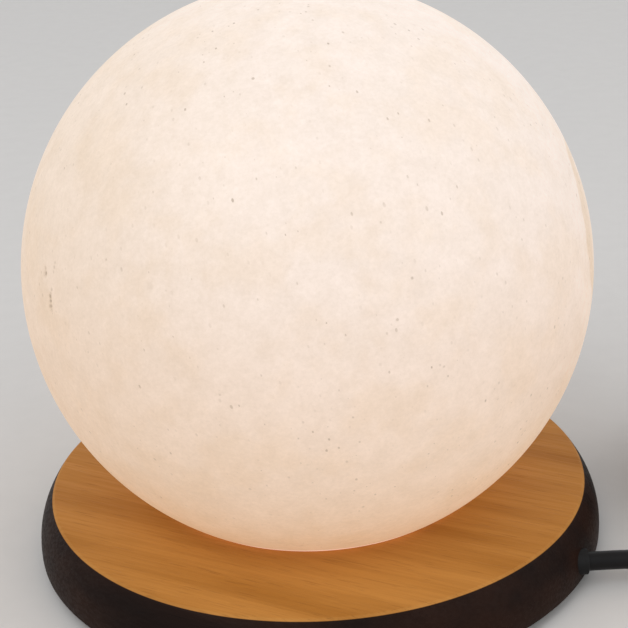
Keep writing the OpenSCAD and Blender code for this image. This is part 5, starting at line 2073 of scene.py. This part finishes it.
    def rocker(self) -> Piece:
        """The rocker: two slopes between round ends, its edges softened.

        Returns:
            The piece.
        """
        r, saddle, skirt = self.rocker_length / 2, self.saddle, self.skirt
        slope = math.tan(math.radians(self.tilt))
        a, b, c = 1 + slope**2, 2 * saddle * slope, saddle**2 - r**2
        x = (-b + math.sqrt(b * b - 4 * a * c)) / (2 * a)
        z, foot_x = saddle + slope * x, math.sqrt(r**2 - skirt**2)
        sweep = math.degrees(math.atan2(z, x) + math.atan2(skirt, foot_x))
        outline = Outline(0.0, saddle).to((x, z)).round(0.0, 0.0, -sweep, self.rocker_steps)
        outline.to((-foot_x, -skirt)).round(0.0, 0.0, -sweep, self.rocker_steps)
        outline.corners[self.rocker_valley] = [outline.first]
        shape = drawn_out(outline.face(segments=4), (0.0, self.rocker_width, 0.0))
        moved(shape, (0.0, -self.rocker_width / 2, 0.0))
        softened(shape, lambda a, b: True, self.rocker_edge)
        end = Vector((0.0, self.pin_length / 2, 0.0))
        shapes = [self.leaning(shape), self.leaning(rod(-end, end, self.pin_radius, sides=24))]
        piece = piece_of("rocker_button", shapes)
        return dress(piece, ROCKER_PLASTIC, ["switch_rocker"], Body.ROCKER)

    def marks(self) -> list[Piece]:
        """The plain stroke on the end that is pressed for on, and the ring on the other.

        Returns:
            The two pieces.
        """
        rise, edge, (inner, outer) = self.mark_rise, self.mark_edge, self.ring
        stroke = block((*self.stroke, 2 * rise), Matrix())
        softened(stroke, lambda a, b: True, self.stroke_edge, segments=2)
        outline = Outline(inner, -rise).to((outer, -rise), (outer, rise, edge), (inner, rise, edge))
        ring = outline.turned(40, segments=2)
        height = self.saddle + self.mark_place * math.tan(math.radians(self.tilt))
        made = []
        for name, shape, side in (("stroke_mark", stroke, 1), ("ring_mark", ring, -1)):
            moved(tilted(shape, -side * self.tilt, "Y"), (side * self.mark_place, 0.0, height))
            piece = piece_of(name, [self.leaning(shape)])
            made.append(dress(piece, MARK_PAINT, (), Body.ROCKER))
        return made

    def cores(self) -> list[Piece]:
        """The switched core's two ends, and the core that passes straight through.

        Returns:
            The three pieces.
        """
        back = [(-x, y, z) for x, y, z in self.through_route[-2::-1]]
        routes = (
            ("switched_core_in", BROWN_CORE, "core_brown", [(-x, y, z) for x, y, z in self.live_route]),
            ("switched_core_out", BROWN_CORE, "core_brown", self.live_route),
            ("through_core", BLUE_CORE, "core_blue", [*self.through_route, *back]),
        )
        pieces = []
        for name, finish, slot, route in routes:
            points = [self.middle() + Vector(point) for point in metres(route)]
            piece = tube(name, points, self.core_radius, sides=4)
            pieces.append(dress(piece, finish, ["switch_cores"]))
        return pieces


@dataclass(frozen=True)
class RoundPinPlug:
    """The moulded two-pin plug with its ribbed strain relief."""

    nose: float = 0.006
    taper: float = 0.008
    grip_radius: float = 0.03
    grip_depth: float = 0.0022
    grip_place: float = 0.55
    grip_steps: int = 7
    corner: float = 0.0036
    sharp: float = 40.0
    face_edge: float = 0.0008
    shoulder: float = 0.0026
    nose_round: float = 0.004
    length: float = 0.034
    relief: float = 0.02
    relief_overlap: float = 0.001
    relief_edge: float = 0.0004
    ribs: int = 6
    rib_width: float = 0.0016
    rib_height: float = 0.0005
    rib_edge: float = 0.0003
    rib_slope: float = 0.0001
    rib_sink: float = 0.00005
    relief_low: float = 0.0033
    relief_high: float = 0.0044
    lead_radius: float = 0.00255
    neck: float = 0.0015
    neck_slip: float = 0.00005
    sleeve: float = 0.0019
    sleeve_length: float = 0.01
    sleeve_edge: float = 0.0001
    root: float = 0.0058
    pin_edge: float = 0.0002
    pin_steps: int = 40
    pin_nose: tuple[Point, ...] = ((0.8, 1.0, 0.0), (0.3, 0.86, 0.0004), (0.0, 0.42, 0.0004))

    def build(self) -> list[Piece]:
        """Makes the plug's pieces."""
        return [self.body(), self.pins(), self.sleeves()]

    def body(self) -> Piece:
        """The moulding, drawn from its outline, and the relief turned on its nose.

        Returns:
            The piece.
        """
        low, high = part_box("plug_body")
        y, nose_x = (low.y + high.y) / 2, high.x - self.length
        shape = tilted(self.outline((high.y - low.y) / 2).face(), -90.0, "X")
        drawn_out(shape, (0.0, 0.0, high.z - low.z))
        softened(
            shape, lambda a, b: abs(a.z - b.z) < NEAR and not self.in_front(a, b), self.corner, segments=7
        )
        softened(shape, self.in_front, self.face_edge)
        relief = moved(self.relief_shape(), (nose_x - self.relief, y, (low.z + high.z) / 2))
        piece = piece_of("plug_moulding", [moved(shape, (nose_x, y, low.z)), relief], self.sharp)
        return dress(piece, BLACK_PLASTIC, ["plug_body"])

    def in_front(self, a: Vector, b: Vector) -> bool:
        """Says whether both ends of an edge are on the front face."""
        return min(a.x, b.x) > self.length - NEAR

    def outline(self, w: float) -> Outline:
        """The plug's outline from above, with a hollow in each side to grip.

        Args:
            w: half the plug's width.

        Returns:
            The outline, with its nose at the origin.
        """
        grip_x, grip_y = self.length * self.grip_place, w + self.grip_radius - self.grip_depth
        first = math.acos((self.taper - grip_x) / self.grip_radius)
        last = math.asin((grip_y - w) / self.grip_radius)
        start_y, sweep = grip_y - self.grip_radius * math.sin(first), math.degrees(last - first)
        end_x = grip_x + self.grip_radius * math.cos(last)
        outline = Outline(0.0, -self.nose).to((self.taper, -start_y, self.shoulder))
        outline.round(grip_x, -grip_y, sweep, self.grip_steps)
        outline.to((self.length, -w, self.face_edge), (self.length, w, self.face_edge), (end_x, w))
        outline.round(grip_x, grip_y, sweep, self.grip_steps)
        outline.corners[self.shoulder].append(outline.tip)
        outline.to((0.0, self.nose, self.nose_round))
        outline.corners[self.nose_round].append(outline.first)
        return outline

    def relief_shape(self) -> Shape:
        """The tapered relief with a round-edged rib at each even step.

        Returns:
            The relief, which starts at the origin and runs along X.
        """
        step = self.relief / (self.ribs + 0.5)
        slope, sink, edge = self.rib_slope, self.rib_sink, self.rib_edge
        outline = Outline(0.0, self.lead_radius).to((0.0, self.relief_low, self.relief_edge))
        for i in range(self.ribs):
            share = (i + 0.5) / self.ribs
            r = self.relief_low + (self.relief_high - self.relief_low) * share
            x, high, end = step * (i + 0.5), r + self.rib_height, step * (i + 0.5) + self.rib_width
            outline.to((x, r - sink), (x + slope, high, edge), (end - slope, high, edge), (end, r + sink))
        end = self.relief + self.relief_overlap
        outline.to((end, self.relief_high), (end, self.lead_radius))
        return outline.turned(segments=3, axis=ALONG_X)

    def on_pins(self, outlines: Callable[[], Outline], segments: int) -> list[Shape]:
        """An outline turned along X for each pin, and moved to where the pin leaves the front face.

        Args:
            outlines: gives the outline anew.
            segments: how many segments a rounded corner has.

        Returns:
            The two shapes.
        """
        low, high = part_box("plug_pins")
        r, z, x = (high.z - low.z) / 2, (low.z + high.z) / 2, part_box("plug_body")[1].x
        places = [(x, low.y + r, z), (x, high.y - r, z)]
        steps = self.pin_steps
        return [moved(outlines().turned(steps, segments, axis=ALONG_X), place) for place in places]

    def pin(self) -> Outline:
        """The outline of a round pin, necked under its sleeve and rounded at the end.

        Returns:
            The outline, with the plug's front face at the origin.
        """
        low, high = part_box("plug_pins")
        r, length, edge = (high.z - low.z) / 2, high.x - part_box("plug_body")[1].x, self.pin_edge
        outline = Outline(-self.root, 0.0).to((-self.root, self.neck, edge), (self.sleeve_length, self.neck))
        outline.to((self.sleeve_length, r, edge))
        for back, out, corner in self.pin_nose:
            outline.to((length - back * r, out * r, corner) if corner else (length - back * r, out * r))
        return outline.to((length, 0.0))

    def collar(self) -> Outline:
        """The outline of the insulating sleeve on the first part of a pin."""
        inner, end = self.neck + self.neck_slip, self.sleeve_length
        return Outline(0.0, inner).to((0.0, self.sleeve), (end, self.sleeve, self.sleeve_edge), (end, inner))

    def pins(self) -> Piece:
        """The two round pins."""
        piece = piece_of("round_pins", self.on_pins(self.pin, segments=4))
        return dress(piece, NICKEL, ["plug_pins"])

    def sleeves(self) -> Piece:
        """The two insulating sleeves."""
        piece = piece_of("pin_collars", self.on_pins(self.collar, segments=2))
        return dress(piece, BLACK_PLASTIC, ["pin_sleeves"])


def declare_leads(lead: MainsLead, switch: list[Piece], plug: list[Piece]) -> None:
    """Makes the two free stretches of the lead, its bushing and its strap.

    Args:
        lead: the lead.
        switch: the pieces of the switch; not used.
        plug: the pieces of the plug; not used.
    """
    near, far = lead.near_stretch(), lead.far_stretch()
    bushing, strap = lead.bushing(), lead.strap()
    bpy.context.view_layer.update()
    metres(lead.to_switch)[0]
    metres(lead.to_coil)[0]


def main() -> None:
    """Builds the studio and the lamp, the camera and the lead first."""
    Studio().build()
    lead = MainsLead()
    declare_leads(lead, InlineSwitch().build(), RoundPinPlug().build())
    lead.inner()
    StoneBall().build()
    WoodenBase().build()
    LampHolder().build()
    SmallBulb().build()


if __name__ == "__main__":
    logging.basicConfig(level=logging.INFO, format="%(message)s")
    main()
